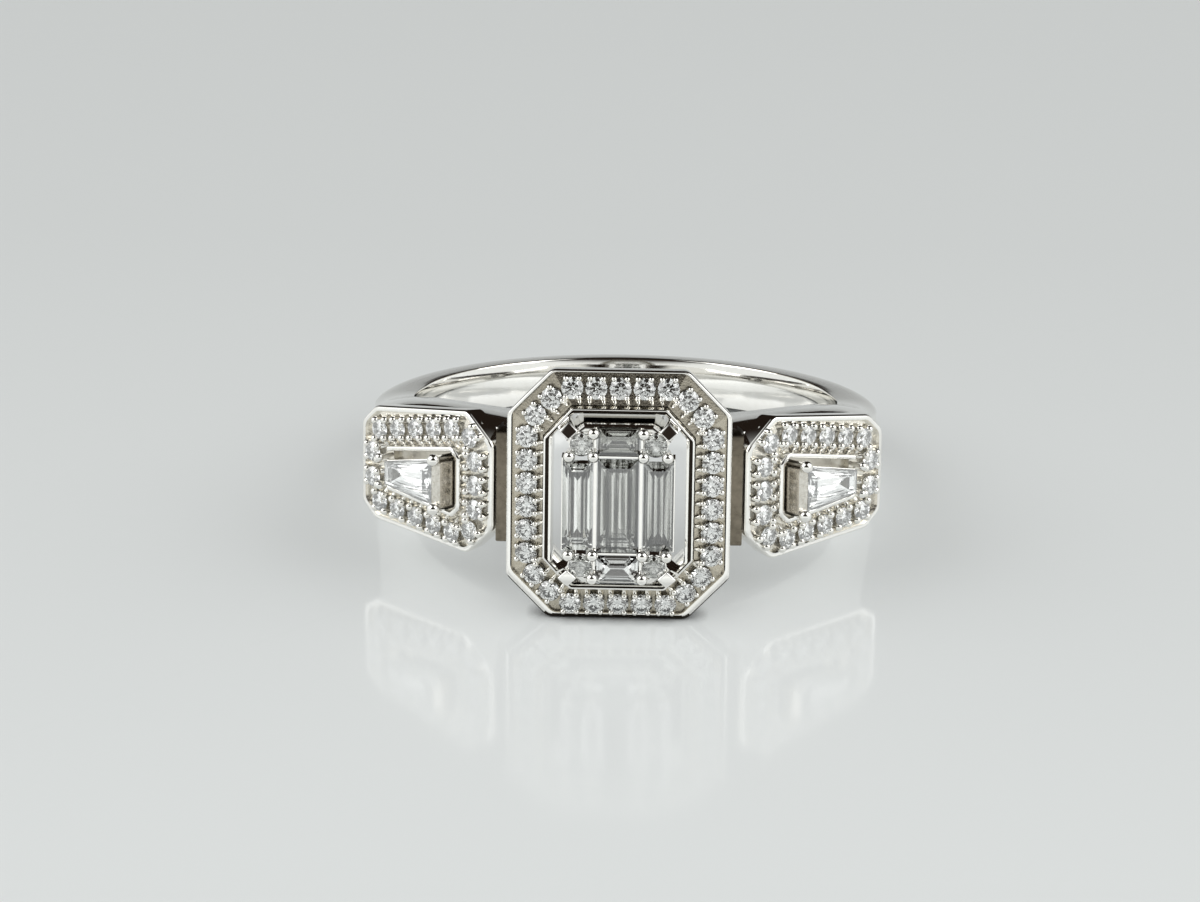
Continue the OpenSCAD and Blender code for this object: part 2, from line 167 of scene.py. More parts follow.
# C-shaped rim: its two ends along s, half its height at each, its corners, its thickness and its top
C_IN = -2.1
C_OUT = 1.65
C_HALF_IN = 1.4
C_HALF_OUT = 0.88
C_CORNER = 0.38
C_RIM_T = 0.2
C_RISE = 0.4
# Floor inside the C-shaped rim
RECESS = -0.2
# Tapered stone: its two ends along s, and half its height at each
TAPER = (-1.25, 1.2, 0.9, 0.45)
TAPER_TABLE = 1.15
# Stones and beads of the panels, against those of the halo
PANEL_STONE_SIZE = 0.93
PANEL_BEAD_SIZE = 1.4

# Paved stones, in mm
PAVE_D = 0.84
PAVE_PITCH = 0.9
PAVE_GIRDLE = 0.17
# Lean of the halo's stones, straight out from the middle once its height is scaled down to its width
STONE_LEAN = 0.24
HALO_NARROWNESS = 0.87
SEAT_R = 0.38
SEAT_FOOT_R = 0.1
BED_DROP = 0.08
BEAD_R = 0.115
# Middle of a bead above its stone's girdle
BEAD_RISE = 0.02
BEAD_FOOT = -0.3
RIDGE_FOOT = -0.34
BEAD_ACROSS = 0.34
BEAD_ALONG = 0.25
# Length of the ridge behind each bead, towards the inner and the outer rim
INNER_RIDGE = 0.27
OUTER_RIDGE = 0.13


# Places


def ring_place(p):
    """A point of the ring's own frame, in metres as it lies."""
    return RING @ (Vector(p) * MM)


def halo_place(p):
    """A point on the halo's face: across, along the finger, outwards."""
    return ring_place((p[0], -(HALO_FACE + p[2]), p[1]))


def cluster_place(p):
    """The same for the cluster, whose middle is a little off the halo's."""
    return halo_place((p[0], p[1] + CLUSTER_V, p[2]))


def panel_place(side):
    """A function that places a point on one side panel; side is 1 for the right and -1 for the left."""

    def place(p):
        x = p[0]
        y = -(PANEL_FACE + p[2])
        across = x * math.cos(PANEL_ANGLE) - y * math.sin(PANEL_ANGLE)
        along = x * math.sin(PANEL_ANGLE) + y * math.cos(PANEL_ANGLE)
        return ring_place((side * across, along, p[1]))

    return place


# Outlines


def cut_rect(size, cut, middle=0.0, low_cut=None):
    """Corners of a rectangle with cut corners, turning to the left; middle is its height along the finger."""
    a, b = size[0] / 2, size[1] / 2
    c, d = cut
    e, f = low_cut or cut
    upper = [(a, b - d), (a - c, b), (c - a, b), (-a, b - d)]
    lower = [(-a, f - b), (e - a, -b), (a - e, -b), (a, f - b)]
    return [(u, v + middle) for u, v in upper + lower]


def panel_outline():
    """A panel's outline, narrowing away from the halo."""
    slope = (PANEL_INNER_H - PANEL_OUTER_H) / 2 / (PANEL_OUT - PANEL_IN)
    near = PANEL_INNER_H / 2 - slope * PANEL_CUT_IN[0]
    far = PANEL_OUTER_H / 2 + slope * PANEL_CUT_OUT[0]
    upper = [
        (PANEL_OUT, far - PANEL_CUT_OUT[1]),
        (PANEL_OUT - PANEL_CUT_OUT[0], far),
        (PANEL_IN + PANEL_CUT_IN[0], near),
        (PANEL_IN, near - PANEL_CUT_IN[1]),
    ]
    return upper + [(s, -v) for s, v in reversed(upper)]


def inset(outline, d):
    """A convex outline drawn in by d all round."""
    result = []
    count = len(outline)
    for i in range(count):
        a, b, c = (Vector(outline[(i + k) % count]) for k in (-1, 0, 1))
        n = (b - a).normalized().orthogonal()
        m = (c - b).normalized().orthogonal()
        result.append(tuple(b + (n + m) * d / (1 + n.dot(m))))
    return result


def corner_arc(a, b, c, radius, steps=4):
    """Points of the short arc that takes the place of corner b, between its neighbours a and c."""
    a, b, c = Vector(a), Vector(b), Vector(c)
    n = (b - a).normalized().orthogonal()
    m = (c - b).normalized().orthogonal()
    centre = b + (n + m) * radius / (1 + n.dot(m))
    spokes = [(n * (1 - j / steps) + m * j / steps).normalized() for j in range(steps + 1)]
    return [tuple(centre - spoke * radius) for spoke in spokes]


def rounded(outline, radius):
    """An outline with each corner turned into a short arc."""
    result = []
    for i, corner in enumerate(outline):
        result += corner_arc(outline[i - 1], corner, outline[(i + 1) % len(outline)], radius)
    return result


def depth_inside(outline, point):
    """How far a point lies inside a convex outline, or less than 0 where it lies outside."""
    depths = []
    for i, corner in enumerate(outline):
        edge = Vector(corner) - Vector(outline[i - 1])
        depths.append((Vector(point) - Vector(corner)).dot(edge.normalized().orthogonal()))
    return min(depths)


# Meshes


def loft(rings, closed=False, caps=True):
    """Faces between rings of as many points each; closed joins the last ring to the first."""
    size = len(rings[0])
    points = [p for ring in rings for p in ring]
    faces = []
    for i in range(len(rings) if closed else len(rings) - 1):
        here, there = i * size, (i + 1) % len(rings) * size
        for j in range(size):
            k = (j + 1) % size
            faces.append((here + j, here + k, there + k, there + j))
    if caps and not closed:
        faces.append(tuple(reversed(range(size))))
        faces.append(tuple(range(len(points) - size, len(points))))
    return points, faces


def at_height(outline, w):
    """A flat outline lifted to height w."""
    return [(p[0], p[1], w) for p in outline]


def join_shapes(*shapes):
    """Several (points, faces) shapes as one."""
    points, faces = [], []
    for more_points, more_faces in shapes:
        start = len(points)
        points += more_points
        faces += [tuple(start + i for i in face) for face in more_faces]
    return points, faces


def box(low, high):
    """A plain block between two corners."""
    (a, b, c), (d, e, f) = low, high
    outline = [(a, b), (d, b), (d, e), (a, e)]
    return loft([at_height(outline, c), at_height(outline, f)])


def circle(radius, w, steps, centre=(0, 0)):
    """Points of a circle at height w."""
    turn = [2 * math.pi * i / steps for i in range(steps)]
    return [(centre[0] + radius * math.cos(t), centre[1] + radius * math.sin(t), w) for t in turn]


def lathe(profile, steps, centre=(0, 0)):
    """A closed shape turned round w from (radius, height) pairs whose ends lie on the axis."""
    return loft([circle(max(r, 1e-4), w, steps, centre) for r, w in profile])


def add_object(name, data):
    """A new object of the scene with the given data."""
    obj = bpy.data.objects.new(name, data)
    bpy.context.scene.collection.objects.link(obj)
    return obj


def make_object(name, shape, place=lambda p: Vector(p) * MM):
    """An object at the origin with its place in its mesh, and faces that point outwards."""
    points, faces = shape
    mesh = bpy.data.meshes.new(name)
    mesh.from_pydata([place(p) for p in points], [], faces)
    bm = bmesh.new()
    bm.from_mesh(mesh)
    bmesh.ops.remove_doubles(bm, verts=bm.verts, dist=0.0005 * MM)
    bmesh.ops.dissolve_degenerate(bm, edges=bm.edges, dist=0.0005 * MM)
    bmesh.ops.recalc_face_normals(bm, faces=bm.faces)
    bm.to_mesh(mesh)
    bm.free()
    return add_object(name, mesh)


def apply_modifiers(obj):
    """Turns the result of an object's modifiers into its plain mesh."""
    graph = bpy.context.evaluated_depsgraph_get()
    result = obj.evaluated_get(graph)
    mesh = bpy.data.meshes.new_from_object(result, preserve_all_data_layers=True, depsgraph=graph)
    obj.modifiers.clear()
    obj.data = mesh


def use_only(obj, material):
    """Leaves an object one material, on all its faces."""
    obj.data.materials.clear()
    obj.data.materials.append(material)
    for face in obj.data.polygons:
        face.material_index = 0


def soften(obj, width, segments, angle):
    """Rounds an object's edges that are sharper than an angle, as polishing does."""
    bevel = obj.modifiers.new("softened_edges", "BEVEL")
    bevel.width = width * MM
    bevel.segments = segments
    bevel.limit_method = "ANGLE"
    bevel.angle_limit = math.radians(angle)
    bevel.use_clamp_overlap = True
    apply_modifiers(obj)


def shade_smooth(obj, angle):
    """Smooth shading, with edges sharper than an angle kept sharp."""
    obj.data.shade_smooth()
    obj.data.set_sharp_from_angle(angle=math.radians(angle))


def show(obj, material, slot, *nodes):
    """Finishes a piece: its material if it has none yet, its body and the nodes it stands for; its slot is
    not used.
    """
    if material:
        obj.data.materials.clear()
        obj.data.materials.append(material)
    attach(obj, "root")
    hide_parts(*nodes)
    return obj


# Materials


def linear(value):
    """An sRGB hex colour as linear red, green, blue and alpha."""
    parts = [int(value[i : i + 2], 16) / 255 for i in (1, 3, 5)]
    return [c / 12.92 if c <= 0.04045 else ((c + 0.055) / 1.055) ** 2.4 for c in parts] + [1.0]


def add_node(tree, kind, links=(), **settings):
    """Adds a node: settings name its properties or inputs, links pair an input with another node's output."""
    node = tree.nodes.new(kind)
    for name, value in settings.items():
        if hasattr(node, name):
            setattr(node, name, value)
        else:
            node.inputs[name.replace("_", " ")].default_value = value
    for name, output in links:
        tree.links.new(output, node.inputs[name])
    return node


def mixed(tree, share, first, second):
    """The colour a share of the way from one to another; each is a hex value, a list or a socket."""
    node = add_node(tree, "ShaderNodeMix", [("Factor", share)], data_type="RGBA")
    for name, value in (("A", first), ("B", second)):
        if isinstance(value, bpy.types.NodeSocket):
            tree.links.new(value, node.inputs[name])
        else:
            node.inputs[name].default_value = linear(value) if isinstance(value, str) else value
    return node.outputs[2]


def calculate(tree, operation, first, second=None):
    """The result of a math node on two sockets or numbers."""
    node = add_node(tree, "ShaderNodeMath", operation=operation)
    for index, value in enumerate((first, second)):
        if isinstance(value, (int, float)):
            node.inputs[index].default_value = value
        elif value is not None:
            tree.links.new(value, node.inputs[index])
    return node.outputs["Value"]


def remap(tree, value, **settings):
    """A value carried from one range to another, 0 to 1 where none is given, and held at its ends."""
    return add_node(tree, "ShaderNodeMapRange", [("Value", value)], **settings).outputs["Result"]


def new_material(name):
    """A material with an empty node tree."""
    material = bpy.data.materials.new(name)
    material.use_nodes = True
    material.node_tree.nodes.clear()
    return material, material.node_tree


def noise(tree, vector, size_mm, detail):
    """Soft noise whose blots are size_mm across, from 0 to 1."""
    links = [("Vector", vector)]
    node = add_node(tree, "ShaderNodeTexNoise", links, Scale=1 / (size_mm * MM), Detail=detail)
    return node.outputs["Fac"]


def white_gold(name, colour, dark, roughness, spread, grain_mm, depth):
    """White gold plated with rhodium: near white metal under marks grain_mm apart and depth mm deep.

    The marks, left by tool or polish, turn its colour from dark to bright and change its gloss by spread.
    """
    material, tree = new_material(name)
    spot = add_node(tree, "ShaderNodeTexCoord")
    marks = noise(tree, spot.outputs["Object"], grain_mm, 3.0)
    rough = remap(tree, marks, To_Min=roughness - spread, To_Max=roughness + spread)
    bump = add_node(tree, "ShaderNodeBump", [("Height", marks)], Strength=1.0, Distance=depth * MM)
    metal = add_node(
        tree,
        "ShaderNodeBsdfPrincipled",
        [
            ("Base Color", mixed(tree, marks, dark, colour)),
            ("Roughness", rough),
            ("Normal", bump.outputs["Normal"]),
        ],
        Metallic=1.0,
    )
    add_node(tree, "ShaderNodeOutputMaterial", [("Surface", metal.outputs["BSDF"])])
    return material


DIAMOND_IOR = 2.417
GLOW_COLOUR = "#FBFFFE"
# Lines that run along the finger, as on a long stone, and across it
UPRIGHT = (1.0, 0.02, 0.02)
LEVEL = (0.02, 1.0, 1.0)


def diamond(name, painted_dark, clear, glow=0.0, grain=(1.0, 1.0, 1.0), grain_mm=0.5, contrast=(0.0, 1.0)):
    """Diamond, cut and polished: clear, with the strong reflections of its high index.

    Its glow is painted light, for the light that the many small facets of a real stone gather and these few
    miss.
    Its darker colour, mixed in by a cloud, paints dark reflections; a grain drawn out along a stone paints
    the light and dark lines that its narrow step facets show.
    """
    material, tree = new_material(name)
    spot = add_node(tree, "ShaderNodeTexCoord")
    drawn = add_node(tree, "ShaderNodeVectorMath", [(0, spot.outputs["Object"])], operation="MULTIPLY")
    drawn.inputs[1].default_value = grain
    cloud = noise(tree, drawn.outputs["Vector"], grain_mm, 1.0)
    share = remap(tree, cloud, From_Min=contrast[0], From_Max=contrast[1])
    stone = add_node(
        tree,
        "ShaderNodeBsdfPrincipled",
        [("Base Color", mixed(tree, share, painted_dark, clear))],
        IOR=DIAMOND_IOR,
        Roughness=0.0,
        Transmission_Weight=1.0,
        Emission_Color=linear(GLOW_COLOUR),
        Emission_Strength=glow,
    )
    add_node(tree, "ShaderNodeOutputMaterial", [("Surface", stone.outputs["BSDF"])])
    return material


# Polished and rhodium plated: a near white mirror with the finest of wear, so it shows the room.
POLISHED = white_gold("polished_white_gold", "#F5F4F1", "#ECEAE5", 0.06, 0.02, 0.3, 0.0004)
# Cut with a graver between the stones, its gloss broken by fine tool marks; its silvery grey is painted shade
# between the stones.
PAVE_BED = white_gold("cut_white_gold", "#D9D3C5", "#9A9281", 0.27, 0.08, 0.07, 0.008)
# The same cut on the panels with painted light: lighter, as these face the light.
PANEL_BED = white_gold("lit_panel_white_gold", "#F4F1EA", "#D0CABC", 0.24, 0.08, 0.07, 0.008)
# Beads pushed over the stones and burnished: small bright caps with a sharp glint each.
BEADS = white_gold("bead_white_gold", "#F7F6F2", "#EAE7E0", 0.08, 0.03, 0.15, 0.001)
# Floor under the tapered stones, left satin: an even soft grey without clear reflections.
SATIN = white_gold("satin_white_gold", "#DAD6CE", "#B9B4A8", 0.3, 0.08, 0.1, 0.004)
# Brushed faces in the gap beside the head; their warm dull grey is painted shade, as on shaded walls.
SHADED = white_gold("painted_gap_shade_white_gold", "#988F80", "#5A5347", 0.3, 0.1, 0.25, 0.004)
# Sides of the end bars, left from the file and rough, streaked lighter and darker; their middling grey is
# painted shade on the sides.
FILED_AND_SHADED = white_gold("filed_and_shaded_white_gold", "#D6CFC2", "#8B8376", 0.26, 0.1, 0.2, 0.006)
# Top of the end bar, cut by hand: bright with short darker strokes.
CHISELLED = white_gold("chiselled_white_gold", "#F4F2EC", "#A39C8E", 0.14, 0.06, 0.16, 0.03)
# Painted shade: dark, rough white gold for the dark line round the halo's rim, in its groove and under its
# lower edge.
PAINTED_SHADE = white_gold("painted_shade_white_gold", "#3A342D", "#1E1A16", 0.4, 0.1, 0.1, 0.004)
# Stones of the halo and the lower short stone: white sparkle, with a little painted grey shade between the
# flashes.
DIAMOND = diamond("polished_diamond", "#E4E6E4", "#FBFCFB")
# Stones of the panels, turned more to the light: nearly all white, with few dark facets and a faint painted
# glow.
SIDE_DIAMOND = diamond("polished_side_diamond", "#FDFEFD", "#FFFFFF", glow=0.03)
# Round stones of the cluster: white, with painted dark reflections between the bright facets.
ROUND_DIAMOND = diamond("round_cut_diamond", "#868882", "#F4F5F2", grain_mm=0.2, contrast=(0.36, 0.64))
# The left long stone: light, with a few soft painted reflection lines drawn out along it.
STEP_DIAMOND = diamond(
    "step_cut_diamond", "#A2A49E", "#FAFBF8", grain=UPRIGHT, grain_mm=0.12, contrast=(0.36, 0.56)
)
# The centre and right long stones, darker: painted light and dark reflection lines side by side along the
# stone.
DARK_LINED_DIAMOND = diamond(
    "dark_lined_step_cut_diamond", "#3B3C37", "#DADBD6", grain=UPRIGHT, grain_mm=0.12, contrast=(0.41, 0.62)
)
# The upper short stone: the same painted reflection lines, level, along its own length.
SHORT_DIAMOND = diamond(
    "short_step_cut_diamond", "#55564F", "#CFD0CA", grain=LEVEL, grain_mm=0.22, contrast=(0.36, 0.6)
)


def metal(name, shape, place, material=POLISHED, edge=0.0, segments=2, least_angle=28, smooth=0):
    """A piece of the mounting, its edges rounded by edge mm and shaded smooth up to an angle."""
    obj = make_object(name, shape, place)
    if edge:
        soften(obj, edge, segments, least_angle)
    if smooth:
        shade_smooth(obj, smooth)
    return show(obj, material, "white_gold", "mounting")


# Shank


def widening(y):
    """Share of the shoulders' extra width left at a place along y."""
    if y <= WIDENING[0][0]:
        return WIDENING[0][1]
    for (y0, f0), (y1, f1) in zip(WIDENING, WIDENING[1:]):
        if y <= y1:
            return f0 + (f1 - f0) * (y - y0) / (y1 - y0)
    return 0.0


def smooth_widening(y, reach=0.9):
    """The same, averaged over a short stretch so that the outline has no corners."""
    count = 7
    return sum(widening(y + reach * (2 * i / (count - 1) - 1)) for i in range(count)) / count


def shank():
    """Shank and shoulders: cross-sections round the finger, wide and straight by the head."""
    corner = math.degrees(math.atan(SHOULDER_CORNER_U / SHOULDER_FRONT))
    tuck = corner + SHOULDER_TUCK
    under = SHOULDER_END - SHOULDER_TURN

    def outer(a):
        if a <= corner:
            return SHOULDER_FRONT / math.cos(math.radians(a))
        if a <= under:
            return SHOULDER_UNDER / math.cos(math.radians(a) - PANEL_ANGLE)
        if a <= SHOULDER_END:
            return BAND_R / math.cos(math.radians(SHOULDER_END - a))
        return BAND_R

    def section(a, r):
        y = -(FINGER_R + BAND_T / 2) * math.cos(math.radians(a))
        half = BAND_HALF + (SHOULDER_HALF - BAND_HALF) * smooth_widening(y)
        turn = max(0.0, min(1.0, (a - tuck) / (under - tuck)))
        turn = turn * turn * (3 - 2 * turn)
        dr = DOME_R_HEAD + (DOME_R_BAND - DOME_R_HEAD) * turn
        dz = half * (DOME_HEAD + (DOME - DOME_HEAD) * turn)
        soft = HOLE_EDGE
        arc = [j * math.pi / 20 for j in range(11)]
        side = [(FINGER_R + soft - soft * math.cos(t), half - soft + soft * math.sin(t)) for t in arc[::5]]
        side += [(r - dr + dr * math.sin(t), half - dz + dz * math.cos(t)) for t in arc]
        return [(q, -z) for q, z in side] + side[::-1]

    angles = [corner - FIRST_SECTION, corner, tuck]
    angles += [tuck + (under - tuck) * (i + 1) / SHOULDER_STEPS for i in range(SHOULDER_STEPS)]
    angles += [under + (180 - under) * (i + 1) / BAND_STEPS for i in range(BAND_STEPS)]
    rings = []
    # The end beside the halo's opening is flat, so its points are placed across instead of round.
    first = section(corner, SHOULDER_FRONT)
    end = []
    for q, z in first:
        share = (q - FINGER_R) / (SHOULDER_FRONT - FINGER_R)
        inner_y = math.sqrt(FINGER_R**2 - TUNNEL_SIDE**2)
        end.append((TUNNEL_SIDE, -(inner_y + (SHOULDER_FRONT - inner_y) * share), z))
    rings.append(end)
    for a in angles:
        turn = math.radians(a)
        rings.append([(q * math.sin(turn), -q * math.cos(turn), z) for q, z in section(a, outer(a))])
    mirrored = [[(-x, y, z) for x, y, z in ring] for ring in reversed(rings[:-1])]
    return loft(rings + mirrored)


# Halo

# Each outline, in mm: width and height, cut of the corners, height of the middle, cut of the lower corners.
# The rim's wall, back, crest and brim differ, so that it is thin above and beside the stones, fuller below.
HALO_OUTLINE = cut_rect((8.28, 9.56), (1.6, 1.64))
HALO_WALL_OUTLINE = cut_rect((8.44, 9.56), (1.652, 1.694), 0.0, (1.569, 1.608))
HALO_BACK_OUTLINE = cut_rect((8.34, 9.35), (1.641, 1.682), 0.015, (1.54, 1.58))
HALO_CREST_OUTLINE = cut_rect((8.25, 9.36), (1.59, 1.63), 0.055, (1.58, 1.62))
HALO_BRIM_OUTLINE = cut_rect((8.1, 9.31), (1.56, 1.6), 0.05, (1.62, 1.66))
INNER_OUTLINE = cut_rect((5.66, 6.98), (1.05, 1.17), INNER_V)
GROOVE_OUTLINE = cut_rect((5.28, 6.685), (0.869, 0.968), -0.0725)
OPENING_OUTLINE = cut_rect((5.0, 6.56), (0.8, 0.9), INNER_V)


def between(a, b, share):
    """An outline part of the way from one outline to another."""
    return [tuple(Vector(p) * (1 - share) + Vector(q) * share) for p, q in zip(a, b)]


def ring_profile(profile, radius):
    """A closed profile carried round outlines: (outline, inset, height) for each of its corners."""
    rings = []
    for line, d, w in profile:
        rings.append(at_height(rounded(inset(line, d), max(radius - d, 0.02)), w))
    return loft(rings, closed=True)


def outer_rim(wall, crest, brim, back, depth):
    """Wall of a face and its rim, polished round from wall to crest and flat from there to the brim."""
    steps = 6
    profile = [(back, 0.0, -depth)]
    for i in range(steps + 1):
        turn = math.pi / 2 * i / steps
        across = between(wall, crest, 1 - math.cos(turn))
        profile.append((across, 0.0, ROUND_EDGE * (math.sin(turn) - 1)))
    profile.append((brim, 0.0, 0.0))
    profile.append((brim, 0.015, BED_OUTER - 0.3))
    profile.append((brim, 0.3, -depth))
    return ring_profile(profile, CORNER_R)


def halo_rim():
    """Outer rim of the halo: thin above and beside the stones, fuller below."""
    return outer_rim(HALO_WALL_OUTLINE, HALO_CREST_OUTLINE, HALO_BRIM_OUTLINE, HALO_BACK_OUTLINE, HALO_WALL)


def halo_bed():
    """Sloping bed between the halo's two rims, which holds the paved stones."""
    outer, inner = HALO_OUTLINE, inset(INNER_OUTLINE, -BED_LAP)
    return loft(
        [
            at_height(inset(outer, RIM_T - BED_LAP), BED_OUTER - BED_DROP),
            at_height(inner, BED_INNER - BED_DROP),
            at_height(inner, -HALO_WALL + 0.02),
            at_height(inset(outer, RIM_T + BED_BACK), -HALO_WALL + 0.02),
        ],
        closed=True,
    )


def inner_rim():
    """Inner rim with a groove along its top, and the wall of the opening behind it, down to the gallery."""
    line, groove, opening = INNER_OUTLINE, GROOVE_OUTLINE, OPENING_OUTLINE
    top = INNER_RISE
    return ring_profile(
        [
            (line, 0.0, -0.3),
            (line, 0.0, top - 0.05),
            (line, 0.012, top - 0.015),
            (line, 0.03, top),
            (line, LIP_T, top),
            (line, LIP_T + 0.01, top - GROOVE_DEPTH - 0.05),
            (groove, 0.0, top - GROOVE_DEPTH - 0.05),
            (groove, 0.01, top - 0.03),
            (groove, 0.03, top - 0.01),
            (opening, -0.03, top - 0.03),
            (opening, 0.0, top - 0.1),
            (opening, 0.0, -GALLERY_DEPTH),
            (opening, -GALLERY_WALL, -GALLERY_DEPTH),
            (opening, -GALLERY_WALL, -HALO_WALL + 0.1),
        ],
        INNER_CORNER_R,
    )


def rim_groove():
    """The bottom of the inner rim's groove, dark with painted shade."""
    line, groove = INNER_OUTLINE, GROOVE_OUTLINE
    top = INNER_RISE - GROOVE_DEPTH
    return ring_profile(
        [
            (line, LIP_T - 0.01, top - 0.1),
            (line, LIP_T - 0.005, top),
            (groove, 0.005, top),
            (groove, 0.01, top - 0.1),
        ],
        INNER_CORNER_R,
    )


# Stones


def brilliant(diameter):
    """A round brilliant, girdle at height 0: table, stars, bezels, halves, girdle and pavilion."""
    r = diameter / 2
    table_r, star_r, low_r = 0.56 * r, 0.78 * r, 0.24 * r
    crown, depth, girdle = 0.3 * r, 0.86 * r, 0.05 * r
    step = math.pi / 8

    def spot(radius, k, w):
        return (radius * math.cos(k * step), radius * math.sin(k * step), w)

    star_w = crown * (r - star_r * math.cos(step)) / (r - table_r)
    low_w = -girdle - depth * (1 - low_r * math.cos(step) / r)
    table = [spot(table_r, 2 * i, crown) for i in range(8)]
    stars = [spot(star_r, 2 * i + 1, star_w) for i in range(8)]
    top = [spot(r, k, 0.0) for k in range(16)]
    bottom = [spot(r, k, -girdle) for k in range(16)]
    lows = [spot(low_r, 2 * i + 1, low_w) for i in range(8)]
    # Order of the points: table from 0, stars from 8, girdle from 16 and 32, pavilion from 48, tip at 56
    points = table + stars + top + bottom + lows + [(0.0, 0.0, -girdle - depth)]
    faces = [tuple(range(8))]
    for i in range(8):
        j = (i + 1) % 8
        a, b, c = 16 + 2 * i, 16 + 2 * i + 1, 16 + 2 * j
        faces.append((i, 8 + i, j))
        faces.append((i, 8 + (i - 1) % 8, a, 8 + i))
        faces.append((8 + i, a, b))
        faces.append((8 + i, b, c))
        d, e, f = a + 16, b + 16, c + 16
        faces.append((a, d, e, b))
        faces.append((b, e, f, c))
        faces.append((48 + i, d, e))
        faces.append((48 + i, e, f))
        faces.append((d, 48 + i, 56, 48 + (i - 1) % 8))
    return points, faces


def baguette(length, half_low, half_high, cut):
    """A baguette along x, its table at height 0: crown steps, girdle, pavilion steps and keel.

    The cut gives the angles of the pavilion's sides, and the share of what they take that its ends take.
    """
    angles, end_share = cut
    half = (half_low + half_high) / 2
    levels = [(d / half, d, w) for d, w in CROWN_STEPS]
    share, w = 0.0, levels[-1][2]
    for part, angle in zip(PAVILION_SHARES, angles):
        share += part
        w -= part * half * math.tan(math.radians(angle))
        levels.append((share, share * half * end_share, w))
    rings = []
    for share, end, w in levels:
        x0, x1 = -length / 2 + end, length / 2 - end
        slope = (half_high - half_low) / length
        h0 = (half_low + slope * end) * (1 - share)
        h1 = (half_high - slope * end) * (1 - share)
        rings.append([(x0, -h0, w), (x1, -h1, w), (x1, h1, w), (x0, h0, w)])
    return loft(rings)


def turned(shape):
    """A shape turned a quarter, so that what ran along x runs along the finger."""
    points, faces = shape
    return [(-y, x, w) for x, y, w in points], faces


def moved(shape, offset):
    """A shape moved by an offset."""
    points, faces = shape
    return [tuple(Vector(p) + Vector(offset)) for p in points], faces


def cluster_stones():
    """Each stone of the cluster, with the CAD node that it stands for; no two are cut quite alike."""
    (cw, cl), (fw, fl), (sw, sh) = CENTRE_SIZE, FLANK_SIZE, SHORT_SIZE
    centre = turned(baguette(cl, cw / 2, cw / 2, CENTRE_CUT))
    left = turned(baguette(fl, fw / 2, fw / 2, LEFT_CUT))
    right = turned(baguette(fl, fw / 2, fw / 2, RIGHT_CUT))
    top = baguette(sw, sh / 2, sh / 2, TOP_CUT)
    bottom = baguette(sw, sh / 2, sh / 2, BOTTOM_CUT)
    stones = [
        ("centre_long_stone", centre, (0, 0), DARK_LINED_DIAMOND, "long_baguette_centre"),
        ("left_long_stone", left, (-FLANK_U, 0), STEP_DIAMOND, "long_baguette_left"),
        ("right_long_stone", right, (FLANK_U, 0), DARK_LINED_DIAMOND, "long_baguette_right"),
        ("top_short_stone", top, (0, SHORT_V), SHORT_DIAMOND, "short_baguette_top"),
        ("bottom_short_stone", bottom, (0, -SHORT_V), DIAMOND, "short_baguette_bottom"),
    ]
    for name, shape, (u, v), material, node in stones:
        obj = make_object(name, moved(shape, (u, v, TABLE_RISE)), cluster_place)
        show(obj, material, "diamond", node)
    for side_name, side in (("left", -1), ("right", 1)):
        for end_name, end in (("top", 1), ("bottom", -1)):
            at = (side * ROUND_PLACE[0], end * ROUND_PLACE[1], TABLE_RISE - ROUND_DROP)
            shape = moved(brilliant(ROUND_D), at)
            obj = make_object(f"{end_name}_{side_name}_round_stone", shape, cluster_place)
            show(obj, ROUND_DIAMOND, "diamond", f"round_{end_name}_{side_name}")


# Repeated pieces, set by geometry nodes


def setting_tree():
    """Geometry nodes that put a pattern on every point, facing as its point says, with a random turn."""
    tree = bpy.data.node_groups.new("set_on_points", "GeometryNodeTree")
    inputs = {
        "Points": "Geometry",
        "Pattern": "Object",
        "Size": "Float",
        "Turn": "Float",
        "Seed": "Int",
        "Finish": "Material",
    }
    for name, kind in inputs.items():
        tree.interface.new_socket(name, in_out="INPUT", socket_type=f"NodeSocket{kind}")
    tree.interface.new_socket("Pieces", in_out="OUTPUT", socket_type="NodeSocketGeometry")
    given = add_node(tree, "NodeGroupInput")
    pattern = add_node(tree, "GeometryNodeObjectInfo", [("Object", given.outputs["Pattern"])])
    facing = add_node(tree, "GeometryNodeInputNamedAttribute", data_type="FLOAT_VECTOR")
    facing.inputs["Name"].default_value = "facing"
    aim = add_node(tree, "FunctionNodeEulerToRotation", [("Euler", facing.outputs["Attribute"])])
    placed = add_node(
        tree,
        "GeometryNodeInstanceOnPoints",
        [
            ("Points", given.outputs["Points"]),
            ("Instance", pattern.outputs["Geometry"]),
            ("Rotation", aim.outputs["Rotation"]),
            ("Scale", given.outputs["Size"]),
        ],
    )
    seed = given.outputs["Seed"]
    chance = add_node(tree, "FunctionNodeRandomValue", [("Seed", seed)], data_type="FLOAT")
    spin = calculate(tree, "MULTIPLY", chance.outputs[1], given.outputs["Turn"])
    about = add_node(tree, "ShaderNodeCombineXYZ", [("Z", spin)])
    turn = add_node(tree, "FunctionNodeEulerToRotation", [("Euler", about.outputs["Vector"])])
    spun = add_node(
        tree,
        "GeometryNodeRotateInstances",
        [("Instances", placed.outputs["Instances"]), ("Rotation", turn.outputs["Rotation"])],
    )
    real = add_node(tree, "GeometryNodeRealizeInstances", [("Geometry", spun.outputs["Instances"])])
    finish = add_node(
        tree,
        "GeometryNodeSetMaterial",
        [("Geometry", real.outputs["Geometry"]), ("Material", given.outputs["Finish"])],
    )
    add_node(tree, "NodeGroupOutput", [("Pieces", finish.outputs["Geometry"])])
    return tree


SETTING = setting_tree()


